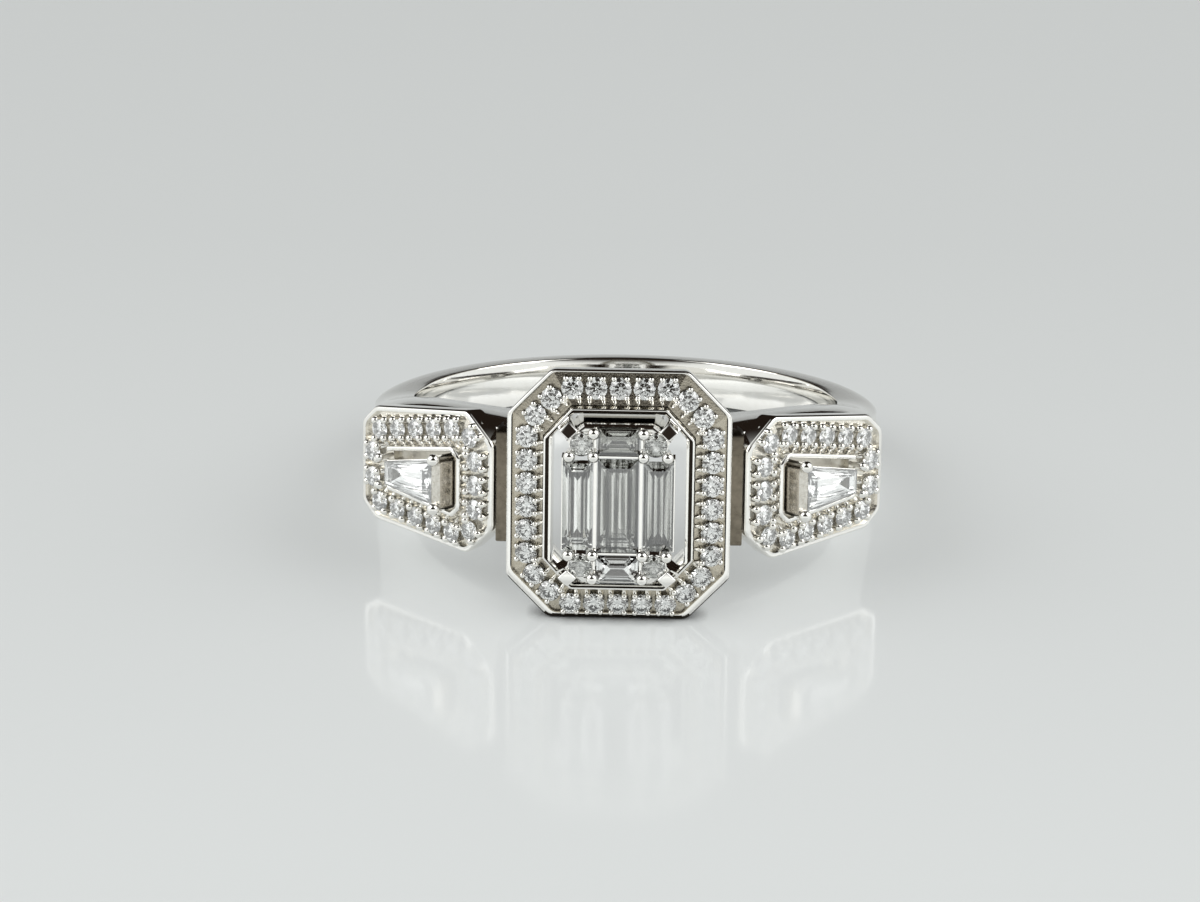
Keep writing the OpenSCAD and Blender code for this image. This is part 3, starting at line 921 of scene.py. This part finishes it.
def set_on_points(name, places, pattern, material, turn=0.0, seed=1, size=1.0):
    """One piece made of a pattern at each place; a place is (point, outward direction, direction along)."""
    mesh = bpy.data.meshes.new(name)
    mesh.from_pydata([p for p, _, _ in places], [], [])
    facing = mesh.attributes.new("facing", "FLOAT_VECTOR", "POINT")
    for i, (_, out, along) in enumerate(places):
        z = out.normalized()
        x = (along - z * along.dot(z)).normalized()
        y = z.cross(x)
        facing.data[i].vector = Matrix((x, y, z)).transposed().to_euler()
    obj = add_object(name, mesh)
    modifier = obj.modifiers.new("set_on_points", "NODES")
    modifier.node_group = SETTING
    values = {"Pattern": pattern, "Size": size, "Turn": turn, "Seed": seed, "Finish": material}
    for item in SETTING.interface.items_tree:
        if item.in_out == "INPUT" and item.name in values:
            modifier[item.identifier] = values[item.name]
    apply_modifiers(obj)
    use_only(obj, material)
    return obj


def drop(obj):
    """Removes a pattern or a cutter once it has done its work."""
    bpy.data.objects.remove(obj)


def bed_height(u, v):
    """Height of the halo's sloping bed at a place: it climbs from the outer rim to the inner one."""
    outer = depth_inside(inset(HALO_OUTLINE, RIM_T), (u, v))
    inner = -depth_inside(INNER_OUTLINE, (u, v))
    return BED_OUTER + (BED_INNER - BED_OUTER) * (outer / (outer + inner))


def halo_pave_places():
    """Centre of each stone of the halo and the way its row runs."""
    places = []
    for sign in (-1, 1):
        for i in range(5):
            places.append(((i - 2) * PAVE_PITCH + 0.02, 4.13 if sign > 0 else -4.18, (1, 0)))
        for i in range(6):
            places.append((sign * 3.49 + 0.03, (i - 2.5) * PAVE_PITCH, (0, 1)))
        for end in (-1, 1):
            run = (0.7, -0.72 * sign * end)
            places.append((sign * 2.56, end * 3.71, run))
            places.append((sign * 3.15, end * 3.07, run))
    return places


def panel_pave_places():
    """Centre of each stone of a side panel and the way its row runs."""
    places = [(-2.72, v, (0, 1)) for v in (-0.93, 0.0, 0.93)]
    for sign in (-1, 1):
        places.append((-2.43, sign * 1.8, (0.7, 0.7 * sign)))
        for i in range(5):
            places.append((-1.55 + 0.93 * i, sign * (2.02 - 0.15 * i), (1, -0.15 * sign)))
        places.append((2.55, sign * 0.5, (0, 1)))
    return places


def normal_at(place, p):
    """Outward direction of a face at a point."""
    return (place((p[0], p[1], p[2] + 1)) - place(p)).normalized()


def pave(name, places, height, place, slope, node, material, stone_size=1.0, bead_size=1.0):
    """Stones and beads of one paved surface.

    Its places are (across, along, way of the row). At each, height gives the bed's height and slope how far
    the stone leans over for each step outwards.
    """
    stone = make_object("stone_pattern", brilliant(PAVE_D))
    stones, inner_beads, outer_beads = [], [], []
    for u, v, (ru, rv) in places:
        w = height(u, v)
        lean_u, lean_v = slope(u, v)
        at = place((u, v, w + PAVE_GIRDLE))
        out = place((u + lean_u, v + lean_v, w + PAVE_GIRDLE + 1)) - at
        along = place((u + ru, v + rv, w + PAVE_GIRDLE)) - at
        stones.append((at, out, along))
        length = math.hypot(ru, rv)
        ru, rv = ru / length, rv / length
        for a in (-1, 1):
            for b in (-1, 1):
                bu = u + BEAD_ALONG * a * ru - BEAD_ACROSS * b * rv
                bv = v + BEAD_ALONG * a * rv + BEAD_ACROSS * b * ru
                bw = height(bu, bv) + PAVE_GIRDLE + BEAD_RISE
                spot = place((bu, bv, bw))
                away = place((bu - rv * b, bv + ru * b, bw)) - spot
                inward = (rv * u - ru * v) * b > 0
                (inner_beads if inward else outer_beads).append((spot, out, away))
    turns = {"turn": math.pi / 4, "seed": 7}
    stones_obj = set_on_points(f"{name}_stones", stones, stone, material, size=stone_size, **turns)
    show(stones_obj, None, "diamond", node)
    drop(stone)
    for kind, beads, ridge in (("inner", inner_beads, INNER_RIDGE), ("outer", outer_beads, OUTER_RIDGE)):
        bead = make_object("bead_pattern", bead_shape(ridge))
        shade_smooth(bead, 60)
        turns = {"turn": 0.3, "seed": 3}
        beads_obj = set_on_points(f"{name}_{kind}_beads", beads, bead, BEADS, size=bead_size, **turns)
        show(beads_obj, None, "white_gold", node)
        drop(bead)


def bead_shape(reach):
    """A grain raised to hold a stone, with the ridge that it was raised from running out along x."""
    arc = [math.pi / 2 * i / 4 for i in range(5)]
    profile = [(0.0, BEAD_FOOT), (BEAD_R * 1.1, BEAD_FOOT)]
    profile += [(BEAD_R * math.cos(t), BEAD_R * math.sin(t)) for t in arc]
    half_round = [math.pi * i / 6 for i in range(7)]
    ridge = []
    # Place along the ridge, half its width and the height of its sides
    for x, r, w in ((0.0, 0.085, -0.05), (reach / 2, 0.075, -0.1), (reach, 0.055, -0.2)):
        top = [(x, -r * math.cos(t), w + r * math.sin(t)) for t in half_round]
        ridge.append([(x, -r, RIDGE_FOOT)] + top + [(x, r, RIDGE_FOOT)])
    return join_shapes(lathe(profile, 10), loft(ridge))


def cut_seats(obj, places, height, place):
    """Cuts a tapered seat under each paved stone, so that its lower half hangs free as in a drilled bed."""
    low, edge, high = -0.42, 0.02, 0.5
    cutters = []
    for u, v, _ in places:
        w = height(u, v)
        wall = [(0, low), (SEAT_FOOT_R, low), (SEAT_R, edge), (SEAT_R, high), (0, high)]
        cutters.append(lathe([(r, w + h) for r, h in wall], 16, (u, v)))
    cutter = make_object("seat_cutter", join_shapes(*cutters), place)
    cut = obj.modifiers.new("seats", "BOOLEAN")
    cut.operation = "DIFFERENCE"
    cut.solver = "EXACT"
    cut.object = cutter
    apply_modifiers(obj)
    drop(cutter)


# Cluster setting


def ball_prong():
    """A post with a ball tip; the ball's centre is at height 0."""
    arc = [math.pi * i / 14 for i in range(15)]
    start = math.asin(PRONG_R / BALL_R)
    ball = [t for t in arc if t < math.pi - start]
    profile = [(0.0, -PRONG_LENGTH), (PRONG_R, -PRONG_LENGTH)]
    profile += [(BALL_R * math.sin(t), BALL_R * math.cos(t)) for t in reversed(ball)]
    return lathe(profile, 24)


def claw(u_sign, v_sign):
    """A square corner claw turned by an eighth, with rounded edges; the upper ones lean upwards."""
    u, v = CLAW_PLACE[0] * u_sign, CLAW_PLACE[1] * v_sign
    if v_sign > 0:
        v += UPPER_CLAW_RISE
    lean = UPPER_CLAW_LEAN if v_sign > 0 else LOWER_CLAW_LEAN
    spots = [(u, v + CLAW_V), (u - CLAW_U, v), (u, v - CLAW_V), (u + CLAW_U, v)]
    top = [(a, b, TABLE_RISE + CLAW_RISE - lean * (b - v)) for a, b in spots]
    return loft([at_height(spots, -HALO_WALL), top])


def claws():
    """The four corner claws and the bridges that solder them to the inner rim."""
    shapes = [claw(u, v) for u, v in CORNERS]
    metal("corner_claws", join_shapes(*shapes), cluster_place, POLISHED, CLAW_EDGE, 4, 35, 35)
    bridges = []
    for u, v in CORNERS:
        rings = []
        for reach, half, w in BRIDGE_STEPS:
            spots = []
            for b, h in ((-half, BRIDGE_FOOT), (-half, w), (half, w), (half, BRIDGE_FOOT)):
                x = CLAW_PLACE[0] + reach * CORNER_WAY[0] - b * CORNER_WAY[1]
                y = CLAW_PLACE[1] + reach * CORNER_WAY[1] + b * CORNER_WAY[0]
                spots.append((x * u, y * v, h))
            rings.append(spots)
        bridges.append(loft(rings))
    metal("claw_bridges", join_shapes(*bridges), cluster_place, edge=0.04, segments=3, smooth=40)


def swept(path, profile):
    """A profile of (outward, height) pairs carried along an open path; outward is to the right."""
    rings = []
    for i, p in enumerate(path):
        p = Vector(p)
        before = (p - Vector(path[i - 1])).normalized() if i else None
        after = (Vector(path[i + 1]) - p).normalized() if i + 1 < len(path) else None
        n = (before or after).orthogonal()
        m = (after or before).orthogonal()
        out = -(n + m) / (1 + n.dot(m))
        rings.append([(p.x + out.x * d, p.y + out.y * d, w) for d, w in profile])
    return loft(rings)


def span(a, b):
    """Two numbers in rising order."""
    return (a, b) if a < b else (b, a)


def block(u0, u1, v0, v1, w0, w1):
    """A block between two places, given in any order."""
    (a, b), (c, d) = span(u0, u1), span(v0, v1)
    return box((a, c, w0), (b, d, w1))


def cluster_setting():
    """Rails between the stones, seats of the round stones, and the bars above and below the cluster."""
    top = TABLE_RISE - 0.2
    low = 0.4
    half_v = CENTRE_SIZE[1] / 2
    shapes = []
    for side in (-1, 1):
        # Upright, between the centre stone and the one beside it
        inner, outer = CENTRE_SIZE[0] / 2 + 0.03, FLANK_U - FLANK_SIZE[0] / 2 - 0.03
        shapes.append(block(side * inner, side * outer, -half_v, half_v, low, top + 0.05))
        # Upright, along the outer edge of that stone
        edge = FLANK_U + FLANK_SIZE[0] / 2
        shapes.append(block(side * (edge - 0.06), side * (edge + 0.05), -half_v, half_v, low, top - 0.12))
        # Level, between the centre stone and a short one
        near, far = half_v + 0.02, SHORT_V - SHORT_SIZE[1] / 2 - 0.02
        shapes.append(block(-0.8, 0.8, side * near, side * far, low, top + 0.04))
        # Upright, at both ends of the short stone
        for s in (-1, 1):
            shapes.append(block(s * 0.81, s * 0.92, side * 1.9, side * 2.98, low, top - 0.02))
    metal("cluster_rails", join_shapes(*shapes), cluster_place, edge=0.015)

    # The bars run past the short stones, bend in at both ends and thin towards their tops.
    profile = [(-0.15, -0.6), (0.19, -0.6), (0.17, 0.2), (0.13, 0.8), (0.11, 0.98), (0.07, 1.12), (0.0, 1.22)]
    profile += [(-0.1, 1.25), (-0.15, 1.25)]
    bars = []
    for v in (-1, 1):
        path = [(-1.95, 2.45), (-1.28, 2.98), (1.28, 2.98), (1.95, 2.45)]
        path = [(-a * v, b * v) for a, b in path]
        bars.append(swept(path, profile))
    metal("cluster_bars", join_shapes(*bars), cluster_place, smooth=30)

    seats = []
    wall = [(-0.07, low), (0.05, low), (0.05, top), (0.01, top + 0.03), (-0.07, top - 0.1)]
    for u, v in CORNERS:
        x, y = u * ROUND_PLACE[0], v * ROUND_PLACE[1]
        rings = [circle(ROUND_D / 2 + d, w, 32, (x, y)) for d, w in wall]
        seats.append(loft(rings, closed=True))
    metal("round_seats", join_shapes(*seats), cluster_place, smooth=30)

    pattern = make_object("prong_pattern", ball_prong())
    shade_smooth(pattern, 50)
    places = []
    out = normal_at(halo_place, (0, 0, 0))
    for u, v in CORNERS:
        for pu, pv in PRONGS:
            places.append((cluster_place((u * pu, v * pv, TABLE_RISE + 0.02)), out, Vector((1, 0, 0))))
    prongs = set_on_points("ball_prongs", places, pattern, POLISHED)
    show(prongs, None, "white_gold", "mounting")
    drop(pattern)


# Side panels

PANEL_OUTLINE = panel_outline()
C_OUTLINE = [
    (C_OUT, C_HALF_OUT),
    (C_IN + C_CORNER, C_HALF_IN),
    (C_IN, C_HALF_IN - C_CORNER),
    (C_IN, C_CORNER - C_HALF_IN),
    (C_IN + C_CORNER, -C_HALF_IN),
    (C_OUT, -C_HALF_OUT),
]


def panel_height(s, v):
    """Height of a panel's bed at a place: it climbs from the rim and is flat from PANEL_BED_RUN on."""
    inside = depth_inside(inset(PANEL_OUTLINE, RIM_T), (s, v))
    climb = max(0.0, min(1.0, inside / (PANEL_BED_RUN - RIM_T)))
    return BED_OUTER + (PANEL_BED_INNER - BED_OUTER) * climb


def panel_rim():
    """Outer rim of a side panel."""
    crest, brim = inset(PANEL_OUTLINE, RIM_T / 2), inset(PANEL_OUTLINE, RIM_T + RIM_LAP)
    return outer_rim(PANEL_OUTLINE, crest, brim, inset(PANEL_OUTLINE, 0.08), PANEL_WALL)


def panel_bed():
    """Bed of a side panel: sloping at the edge, flat in the middle, open inside the C-shaped rim."""
    lap = 0.06
    end = [(C_OUT - lap, C_HALF_OUT / 2), (C_OUT - lap, -C_HALF_OUT / 2)]
    inner = end[:1] + inset(C_OUTLINE, lap) + end[1:]
    return loft(
        [
            at_height(inset(PANEL_OUTLINE, RIM_T - BED_LAP), BED_OUTER - BED_DROP),
            at_height(inset(PANEL_OUTLINE, PANEL_BED_RUN), PANEL_BED_INNER - BED_DROP),
            at_height(inner, PANEL_BED_INNER - BED_DROP + 0.01),
            at_height(inner, -PANEL_WALL + 0.02),
            at_height(inset(PANEL_OUTLINE, RIM_T + BED_BACK), -PANEL_WALL + 0.02),
        ],
        closed=True,
    )


def arc_corners(points, radius):
    """An open path with its inner corners turned into short arcs."""
    path = [points[0]]
    for a, b, c in zip(points, points[1:], points[2:]):
        path += corner_arc(a, b, c, radius)
    return path + [points[-1]]


def c_rim():
    """The polished C-shaped rim round a tapered baguette, open towards the narrow end."""
    t, top, edge = C_RIM_T, C_RISE, 0.12
    arc = [math.pi / 2 * i / 4 for i in range(5)]
    profile = [(0.0, RECESS)] + [(edge * (math.cos(a) - 1), top + edge * (math.sin(a) - 1)) for a in arc]
    profile += [(0.03 - t, top), (0.01 - t, top - 0.015), (-t, top - 0.05), (-t, RECESS - 0.05)]
    return swept(arc_corners(C_OUTLINE, 0.3), profile)


def taper_setting(side_name, place):
    """End bar, rails, floor and prongs that hold a tapered baguette."""
    s0, s1, wide, narrow = TAPER
    low = RECESS - 0.05
    top = TAPER_TABLE - 0.2
    half = wide - 0.03
    foot, back, front, bar_top = C_IN + C_RIM_T + 0.02, s0 - 0.52, s0 - 0.03, TAPER_TABLE - 0.12
    # The end bar, drawn from the side, and the cut top let into it
    side_view = [(front, low), (front, bar_top), (back, bar_top), (back - 0.02, bar_top - 0.12)]
    side_view += [(foot, RECESS), (foot, low)]
    bar = loft([[(s, v, w) for s, w in side_view] for v in (-half, half)])
    metal(f"{side_name}_end_bar", bar, place, FILED_AND_SHADED, edge=0.03, segments=3, smooth=40)
    cap = box((back + 0.03, 0.03 - half, bar_top - 0.05), (front - 0.03, half - 0.03, bar_top + 0.01))
    metal(f"{side_name}_end_bar_top", cap, place, CHISELLED, edge=0.01)
    # Rails along both sides of the stone and across its narrow end
    shapes = []
    for v in (-1, 1):
        rail = [(s1, v * (narrow - 0.1)), (s1, v * (narrow + 0.02))]
        rail += [(s0, v * (wide + 0.02)), (s0, v * (wide - 0.1))]
        shapes.append(loft([at_height(rail, low), at_height(rail, top - 0.06)]))
    shapes.append(box((s1 - 0.12, -narrow, low), (s1 + 0.06, narrow, top - 0.02)))
    metal(f"{side_name}_taper_rails", join_shapes(*shapes), place, edge=0.02)
    sheet = box((C_IN + 0.05, 0.06 - C_HALF_IN, RECESS - 0.1), (C_OUT, C_HALF_IN - 0.06, RECESS))
    metal(f"{side_name}_recess", sheet, place, SATIN)
    pattern = make_object("prong_pattern", ball_prong())
    shade_smooth(pattern, 50)
    out = normal_at(place, (0, 0, 0))
    # Prongs at the wide and the narrow end: name, size and places above the middle line
    sets = [
        ("taper", 1.1, [(s0 - 0.24, wide + 0.05, TAPER_TABLE - 0.02)]),
        ("end", 0.75, [(s1 + 0.3, narrow + 0.09, TAPER_TABLE - 0.2)]),
    ]
    for kind, size, spots in sets:
        places = [(place((s, v * half, w)), out, Vector((0, 0, 1))) for v in (-1, 1) for s, half, w in spots]
        prongs = set_on_points(f"{side_name}_{kind}_prongs", places, pattern, POLISHED, size=size)
        show(prongs, None, "white_gold", "mounting")
    drop(pattern)


def side_panel(side_name, side):
    """One side panel: rim, bed, C-shaped rim, tapered stone and its setting, and the paved stones."""
    place = panel_place(side)
    metal(f"{side_name}_panel_rim", panel_rim(), place, smooth=30)
    places = panel_pave_places()
    bed = make_object(f"{side_name}_panel_bed", panel_bed(), place)
    cut_seats(bed, places, panel_height, place)
    show(bed, PANEL_BED, "white_gold", f"side_pave_{side_name}")
    metal(f"{side_name}_c_rim", c_rim(), place, smooth=40)
    shape = baguette(TAPER[1] - TAPER[0], TAPER[2], TAPER[3], TAPER_CUT)
    shape = moved(shape, ((TAPER[0] + TAPER[1]) / 2, 0, TAPER_TABLE))
    stone = make_object(f"{side_name}_tapered_stone", shape, place)
    show(stone, SIDE_DIAMOND, "diamond", f"tapered_baguette_{side_name}")
    taper_setting(side_name, place)
    sizes = (PANEL_STONE_SIZE, PANEL_BEAD_SIZE)
    node = f"side_pave_{side_name}"
    pave(f"{side_name}_panel", places, panel_height, place, lambda s, v: (0, 0), node, SIDE_DIAMOND, *sizes)


# The ring


def halo():
    """Halo frame, bed, paved stones and the cluster inside it."""
    rim = metal("halo_rim", halo_rim(), halo_place, smooth=30)
    rim.data.materials.append(PAINTED_SHADE)
    # Its underside gets painted shade: the lower edge's whole rounding, and the steeper part of the corners'.
    for face in rim.data.polygons:
        least = UNDERSIDE_SHADE_EDGE if abs(face.normal.x) < 0.2 else UNDERSIDE_SHADE_CORNER
        face.material_index = int(-face.normal.dot(AXIS) > least)
    metal("inner_rim", inner_rim(), halo_place, smooth=50)
    metal("rim_groove", rim_groove(), halo_place, PAINTED_SHADE)
    places = halo_pave_places()
    bed = make_object("halo_bed", halo_bed(), halo_place)
    cut_seats(bed, places, bed_height, halo_place)
    show(bed, PAVE_BED, "white_gold", "halo_pave")

    def slope(u, v):
        length = math.hypot(u, v * HALO_NARROWNESS)
        return (STONE_LEAN * u / length, STONE_LEAN * v * HALO_NARROWNESS / length)

    pave("halo", places, bed_height, halo_place, slope, "halo_pave", DIAMOND)
    cluster_stones()
    cluster_setting()
    claws()


def ring():
    """Every piece of the ring."""
    band = metal("shank", shank(), ring_place, smooth=30)
    # The faces in the gap between the head and the side panels stay brushed, and get painted shade.
    band.data.materials.append(SHADED)
    to_ring = RING.inverted()
    for face in band.data.polygons:
        centre = to_ring @ face.center / MM
        if abs(centre.x) < SHOULDER_CORNER_U and centre.y < -FINGER_R - BAND_T:
            face.material_index = 1
    halo()
    side_panel("left", -1)
    side_panel("right", 1)


# Studio

# Camera, solved from the photo: the point it looks at, from the finger hole's middle, its distance and angles
CAMERA_AIM = Vector(HOLE["pos_m"]) + Vector((-0.729, -11.24, 3.69)) * MM
CAMERA_DISTANCE = 153.0 * MM
CAMERA_AZIMUTH = math.radians(-1.452)
CAMERA_ELEVATION = math.radians(23.555)
CAMERA_ROLL = math.radians(0.4855)
CAMERA_LENS_MM = 122.4
CAMERA_SENSOR_MM = 36.0


def camera():
    """The photograph's camera: just above the halo's height, looking down on the lying ring."""
    data = bpy.data.cameras.new("camera")
    data.lens = CAMERA_LENS_MM
    data.sensor_width = CAMERA_SENSOR_MM
    data.clip_start = 0.01
    data.clip_end = 20.0
    obj = add_object("camera", data)
    level, fall = math.cos(CAMERA_ELEVATION), -math.sin(CAMERA_ELEVATION)
    forward = Vector((math.sin(CAMERA_AZIMUTH) * level, math.cos(CAMERA_AZIMUTH) * level, fall))
    turn = forward.to_track_quat("-Z", "Y").to_matrix() @ Matrix.Rotation(CAMERA_ROLL, 3, "Z")
    obj.matrix_world = Matrix.Translation(CAMERA_AIM - forward * CAMERA_DISTANCE) @ turn.to_4x4()
    bpy.context.scene.camera = obj


# Painted glow of the sheet, brighter from the back of the ring to its front
FLOOR_GLOW_BACK = 0.28
FLOOR_GLOW_FRONT = 0.345
FLOOR_GLOW_REACH = 0.03
# Painted contact shade: the glow is taken off round where the ring stands: how far round it, and how shut in
# a spot must be to get none
GLOW_SHADE_MM = 0.6
GLOW_SHADE_FLOOR = 0.3
FLOOR_HALF = 3.0
# Lower than acrylic's 1.49, as the photo's floor mirrors the ring only faintly
SHEET_IOR = 1.38


def floor():
    """A pale sheet with a slight gloss and a painted glow: shadows on it are dark only at contact, where
    painted shade takes the glow off.
    """
    material, tree = new_material("pale_acrylic_sheet")
    spot = add_node(tree, "ShaderNodeTexCoord")
    cloud = noise(tree, spot.outputs["Object"], 125.0, 2.0)
    sheet = add_node(
        tree,
        "ShaderNodeBsdfPrincipled",
        [("Base Color", mixed(tree, cloud, "#B9BBBB", "#BCBEBE"))],
        Roughness=0.1,
        IOR=SHEET_IOR,
        Emission_Color=linear(GLOW_COLOUR),
    )
    way = add_node(tree, "ShaderNodeSeparateXYZ", [("Vector", spot.outputs["Object"])])
    glow = remap(
        tree,
        way.outputs["Y"],
        From_Min=FLOOR_GLOW_REACH,
        From_Max=-FLOOR_GLOW_REACH,
        To_Min=FLOOR_GLOW_BACK,
        To_Max=FLOOR_GLOW_FRONT,
    )
    near = add_node(tree, "ShaderNodeAmbientOcclusion", samples=3, Distance=GLOW_SHADE_MM * MM)
    open_air = remap(tree, near.outputs["AO"], From_Min=GLOW_SHADE_FLOOR)
    dim = calculate(tree, "MULTIPLY", glow, open_air)
    tree.links.new(dim, sheet.inputs["Emission Strength"])
    add_node(tree, "ShaderNodeOutputMaterial", [("Surface", sheet.outputs["BSDF"])])
    mesh = bpy.data.meshes.new("floor")
    corners = [(x * FLOOR_HALF, y * FLOOR_HALF, 0) for x, y in ((-1, -1), (1, -1), (1, 1), (-1, 1))]
    mesh.from_pydata(corners, [], [(0, 1, 2, 3)])
    mesh.materials.append(material)
    add_object("floor", mesh)


# Softboxes: place of the right one and the point that both face, in metres, their side and power
SOFTBOX_AT = (0.5, -0.12, 0.4)
SOFTBOX_AIM = (0, 0, 0.005)
SOFTBOX_SIDE = 0.5
SOFTBOX_WATTS = 1.4


def softbox(name, side):
    """A square softbox aimed at the ring, from the left or the right."""
    data = bpy.data.lights.new(name, "AREA")
    data.shape = "RECTANGLE"
    data.size = data.size_y = SOFTBOX_SIDE
    data.energy = SOFTBOX_WATTS
    obj = add_object(name, data)
    at = Vector((side * SOFTBOX_AT[0], SOFTBOX_AT[1], SOFTBOX_AT[2]))
    turn = (Vector(SOFTBOX_AIM) - at).to_track_quat("-Z", "Y").to_matrix()
    obj.matrix_world = Matrix.Translation(at) @ turn.to_4x4()


def blend(tree, name, value, low, high):
    """A soft step from 0 to 1 as a value passes from low to high."""
    return remap(tree, value, interpolation_type="SMOOTHSTEP", label=name, From_Min=low, From_Max=high)


# Light tent: its brightness, its cloth, the dark gap overhead and behind, the patch in front, the backdrop
TENT_LIGHT = 0.95
TENT_WHITE = "#FCFEFC"
TENT_DARK = "#221B16"
FRONT_DARK = "#2E2823"
BACKDROP = "#CFD1D1"
# Share of the tent's light that fills the stones, for what their few facets miss
STONE_FILL = 0.03


def room():
    """The light tent seen in the polish: white, with a dark strip overhead, a dim front patch and a dim back.

    Directions are those of a ray that leaves the ring: x to the right, y to the back, z up.
    """
    world = bpy.data.worlds.new("light_tent")
    bpy.context.scene.world = world
    world.use_nodes = True
    tree = world.node_tree
    tree.nodes.clear()
    spot = add_node(tree, "ShaderNodeTexCoord")
    way = add_node(tree, "ShaderNodeSeparateXYZ", [("Vector", spot.outputs["Generated"])])
    x, y, z = (way.outputs[axis] for axis in "XYZ")
    across = calculate(tree, "ABSOLUTE", x)
    high = blend(tree, "overhead", z, 0.46, 0.58)
    middle = blend(tree, "middle", across, 0.46, 0.34)
    overhead = calculate(tree, "MULTIPLY", high, middle)
    overhead = calculate(tree, "MULTIPLY", overhead, blend(tree, "overhead to back", y, -0.25, -0.05))
    back = blend(tree, "behind", y, 0.25, 0.5)
    behind = calculate(tree, "MULTIPLY", back, blend(tree, "between the sides", across, 0.75, 0.55))
    # The patch in front narrows as it rises.
    reach = remap(tree, z, From_Min=0.3, From_Max=0.9, To_Min=0.8, To_Max=0.15)
    beside = calculate(tree, "SUBTRACT", across, reach)
    narrow = blend(tree, "narrow", beside, 0.06, -0.06)
    above = blend(tree, "above", z, 0.26, 0.36)
    above = calculate(tree, "MULTIPLY", above, blend(tree, "in front", y, 0.1, -0.1))
    front = calculate(tree, "MULTIPLY", narrow, above)
    white = [TENT_LIGHT * c for c in linear(TENT_WHITE)[:3]] + [1.0]
    tent = mixed(tree, front, white, FRONT_DARK)
    tent = mixed(tree, calculate(tree, "MAXIMUM", overhead, behind), tent, TENT_DARK)
    path = add_node(tree, "ShaderNodeLightPath")
    fill = calculate(tree, "MULTIPLY", path.outputs["Is Transmission Ray"], STONE_FILL)
    filled = mixed(tree, fill, tent, white)
    seen = mixed(tree, path.outputs["Is Camera Ray"], filled, BACKDROP)
    light = add_node(tree, "ShaderNodeBackground", [("Color", seen)], Strength=1.0)
    add_node(tree, "ShaderNodeOutputWorld", [("Surface", light.outputs["Background"])])


def studio():
    """Plain pale floor, two large softboxes with a dark gap between them overhead, and a dim room behind."""
    floor()
    softbox("left_softbox", -1)
    softbox("right_softbox", 1)
    room()
    bpy.context.scene.view_settings.view_transform = "Standard"


ring()
studio()
camera()
